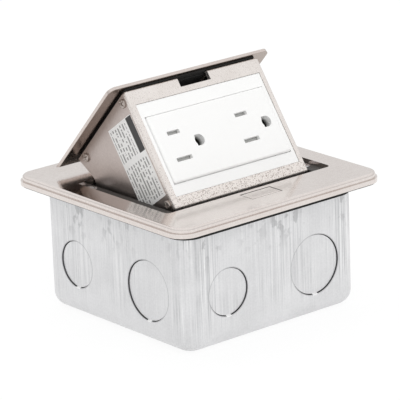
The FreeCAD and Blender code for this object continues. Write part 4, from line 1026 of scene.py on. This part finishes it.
@dataclass(frozen=True)
class SocketFace(Assembly):
    """The bezel, the white plate and the two outlets with what is behind them.

    A sleeve lines each ground hole, and a bowed leaf pushes each shutter. A closed shutter would leave its
    leaf the kept share of its height; leaf_kept is not used.
    """

    hole_across: Pair = (-0.01175, 0.02755)
    hole_rise: float = 0.0275
    hole_radius: float = 0.0026
    hole_taper: float = 0.9
    sleeve_radius: float = 0.0032
    sleeve_front: float = 0.00125
    sleeve_back: float = 0.0069
    sleeve_sectors: int = 48
    leaf_across: Pair = (-0.02375, 0.01555)
    leaf_half: float = 0.0033
    leaf_foot: float = 0.01325
    leaf_bow: float = 0.0042
    leaf_bend: float = 0.1
    leaf_thick: float = 0.0003
    leaf_depths: Pair = (0.0015, 0.0027)
    leaf_sections: int = 41
    leaf_kept: float = 0.36
    finishes: ClassVar[Dressing] = {
        Finish.SPARKLE: ("face_bezel",),
        Finish.WHITE: ("wall_plate", "receptacle_face"),
        Finish.ZINC: ("mounting_strap", "strap_screws", "neutral_terminal_screws"),
        Finish.GREEN: ("ground_terminal_screw",),
        Finish.BRASS: ("ground_contacts", "hot_terminal_screws", "hot_contact", "neutral_contact"),
        Finish.GREY_PLASTIC: ("receptacle_body", "shutter_left", "shutter_right"),
        Finish.WIRE: ("shutter_spring_left", "shutter_spring_right"),
    }

    def sleeve(self, across: float) -> Mesh:
        """Work out the moulded sleeve behind one ground hole.

        The surface is a closed outline carried round the hole's axis: at the angle a, each outline point of
        radius r and depth d lies at r cos a along X, r sin a up the face and d behind it. The bore narrows by
        a tenth from front to back.

        Args:
            across: The hole's place along X.

        Returns:
            The points and the faces.
        """
        outline = np.array([(self.hole_radius, self.sleeve_front), (self.sleeve_radius, self.sleeve_front),
                            (self.sleeve_radius, self.sleeve_back),
                            (self.hole_taper * self.hole_radius, self.sleeve_back)])
        angle = np.linspace(0.0, 2 * math.pi, self.sleeve_sectors, endpoint=False)[None, :, None]
        radius, depth = (outline[:, part][:, None, None] for part in (0, 1))
        middle = np.array(TILT.point(across, self.hole_rise, 0.0))
        sideways, up, back = TILT.axes
        points = middle + radius * np.cos(angle) * sideways + radius * np.sin(angle) * up + depth * back
        return points.reshape(-1, 3), ring_quads(len(outline), self.sleeve_sectors, wrap=True).tolist()

    def leaf(self, across: float) -> Mesh:
        """Work out the bowed strip that pushes one shutter back up.

        At the share t of its half width, from -1 to 1, the strip's middle stands at a height that falls from
        the top of the bow by the root of t squared plus the bend squared, so that the top is round and the
        feet lie at t = -1 and 1. The skin lies half a thickness off it, square to its slope.

        Args:
            across: The bow's middle along X.

        Returns:
            The points and the faces.
        """
        share = np.linspace(-1.0, 1.0, self.leaf_sections)
        span = math.hypot(1.0, self.leaf_bend) - self.leaf_bend
        drop = (np.hypot(share, self.leaf_bend) - self.leaf_bend) / span
        run, rise = self.leaf_half * share, self.leaf_foot + self.leaf_bow * (1.0 - drop)
        slope = np.gradient(rise, run)
        off = 0.5 * self.leaf_thick / np.hypot(1.0, slope)
        near, far = self.leaf_depths
        corner = np.array(TILT.point(across, 0.0, 0.0))
        sideways, up, back = TILT.axes
        return swept(np.stack([corner + (run - side * off * slope)[:, None] * sideways
                               + np.maximum(rise + side * off, self.leaf_foot)[:, None] * up + depth * back
                               for depth, side in ((near, -1.0), (far, -1.0), (far, 1.0), (near, 1.0))], 1))

    def build(self) -> None:
        """Make the leaf springs under the shutters and the sleeves behind the two ground holes."""
        for side, across in zip(("left", "right"), self.leaf_across):
            piece = new_piece(f"shutter_leaf_{side}", [self.leaf(across)], self.shop.get(Finish.WIRE),
                              "popup")
            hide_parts(f"shutter_spring_{side}")
            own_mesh(piece)
        # The sleeves darken with depth behind the face: painted shade down the ground holes.
        sleeves = [self.sleeve(across) for across in self.hole_across]
        new_piece("ground_hole_sleeves", sleeves, self.shop.get(Finish.HOLE), "popup")


@dataclass(frozen=True)
class Studio:
    """A pale floor, a white surround, soft lamps and the camera.

    A lamp is its name, its place, the length of its side and its power in watts.
    """

    azimuth: float = math.radians(39.36)
    elevation: float = math.radians(18.23)
    roll: float = math.radians(-2.16)
    distance: float = 1.375
    target: Place = (0.0, 0.0, 0.04)
    lens: float = 271.9
    sensor: float = 36.0
    shift: Pair = (0.001, 0.05)
    farthest: float = 20.0
    floor_reach: float = 3.0
    floor_level: float = -0.0004
    floor_colour: Colour = (0.86, 0.86, 0.86, 1.0)
    floor_glow: float = 1.05
    glow_share: float = 0.85
    white: Colour = (1.0, 1.0, 1.0, 1.0)
    sky: Band = (-0.05, 0.7, 0.72, 1.0)
    soft_light: float = 0.72
    lamps: tuple[tuple[str, Place, float, float], ...] = (
        ("key_lamp", (-0.5, -1.3, 1.0), 1.5, 7.6), ("top_lamp", (0.1, 0.5, 1.4), 1.35, 5.0))

    def build(self) -> None:
        """Set up the whole studio, with lamps clear of what the sloping face reflects."""
        self.floor()
        self.world()
        self.light()
        self.camera()
        bpy.context.scene.view_settings.view_transform = "Standard"

    def floor(self) -> None:
        """Make the floor, which looks white from above, keeps the object's shadow and is clear from below."""
        reach, mesh = self.floor_reach, bpy.data.meshes.new("floor")
        corners = [(x * reach, y * reach, self.floor_level) for x, y in ((-1, -1), (1, -1), (1, 1), (-1, 1))]
        mesh.from_pydata(corners, [], [(0, 1, 2, 3)])
        floor = bpy.data.objects.new("floor", mesh)
        bpy.context.scene.collection.objects.link(floor)
        material = bpy.data.materials.new("pale_floor")
        material.use_nodes = True
        graph = Graph(material.node_tree)
        paths = graph.add("LightPath").outputs
        seen = graph.math("MAXIMUM", paths["Is Camera Ray"], paths["Is Glossy Ray"])
        seen = graph.math("MAXIMUM", seen, paths["Is Transmission Ray"])
        matt = graph.add("BsdfDiffuse", {"Color": self.floor_colour})
        glow = graph.add("Emission", {"Color": self.white, "Strength": self.floor_glow})
        both = graph.add("MixShader", {0: graph.times(seen, self.glow_share), 1: matt.outputs[0],
                                       2: glow.outputs[0]})
        below = graph.add("NewGeometry").outputs["Backfacing"]
        clear = graph.add("BsdfTransparent")
        shown = graph.add("MixShader", {0: below, 1: both.outputs[0], 2: clear.outputs[0]})
        graph.add("OutputMaterial", {"Surface": shown.outputs[0]})
        mesh.materials.append(material)

    def world(self) -> None:
        """Make a surround that is white to the camera and to reflections, and lights softly."""
        world = bpy.data.worlds.new("surround")
        bpy.context.scene.world = world
        world.use_nodes = True
        graph = Graph(world.node_tree)
        paths = graph.add("LightPath").outputs
        seen = graph.math("MAXIMUM", paths["Is Camera Ray"], paths["Is Transmission Ray"])
        up = graph.add("SeparateXYZ", {0: graph.add("TexCoord").outputs["Generated"]}).outputs[2]
        glossy = graph.times(paths["Is Glossy Ray"], graph.band(up, *self.sky))
        soft = graph.times(graph.math("SUBTRACT", 1.0, paths["Is Glossy Ray"]), self.soft_light)
        strength = graph.math("MAXIMUM", seen, graph.math("ADD", glossy, soft))
        shade = graph.add("Background", {"Color": self.white, "Strength": strength})
        graph.add("OutputWorld", {"Surface": shade.outputs[0]})

    def light(self) -> None:
        """Hang the square soft lamps, which face the object and don't show in the metal."""
        for name, place, size, power in self.lamps:
            data = bpy.data.lights.new(name, "AREA")
            data.shape, data.size, data.energy = "SQUARE", size, power
            lamp = bpy.data.objects.new(name, data)
            lamp.location = place
            lamp.visible_camera = lamp.visible_glossy = False
            aim = Vector(self.target) - Vector(place)
            lamp.rotation_euler = aim.to_track_quat("-Z", "Y").to_euler()
            bpy.context.scene.collection.objects.link(lamp)

    def camera(self) -> None:
        """Stand the camera where it sees the box from the front left, a little above."""
        scene = bpy.context.scene
        data = bpy.data.cameras.new("camera")
        data.sensor_width, data.lens, data.clip_end = self.sensor, self.lens, self.farthest
        data.shift_x, data.shift_y = self.shift
        camera = bpy.data.objects.new("camera", data)
        away = Vector((-math.sin(self.azimuth) * math.cos(self.elevation),
                       -math.cos(self.azimuth) * math.cos(self.elevation), math.sin(self.elevation)))
        level = (-away).cross(UP).normalized()
        above = level.cross(-away)
        turn_cos, turn_sin = math.cos(self.roll), math.sin(self.roll)
        right = level * turn_cos + above * turn_sin
        up = above * turn_cos - level * turn_sin
        rows = Matrix((right, up, away)).transposed().to_4x4()
        camera.matrix_world = Matrix.Translation(Vector(self.target) + away * self.distance) @ rows
        scene.collection.objects.link(camera)
        scene.camera = camera


def main() -> None:
    """Build every sub-assembly in turn, then the studio."""
    logging.basicConfig(level=logging.INFO, format="%(name)s: %(message)s")
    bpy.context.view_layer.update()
    shop = FinishShop()
    assemblies = [kind(shop) for kind in (FloorBox, Rim, PopUp, SocketFace)]
    for assembly in assemblies:
        assembly.dress()
    for assembly in assemblies:
        assembly.build()
    Studio().build()
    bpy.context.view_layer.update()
    LOG.info("sizes written")


if __name__ == "__main__":
    main()
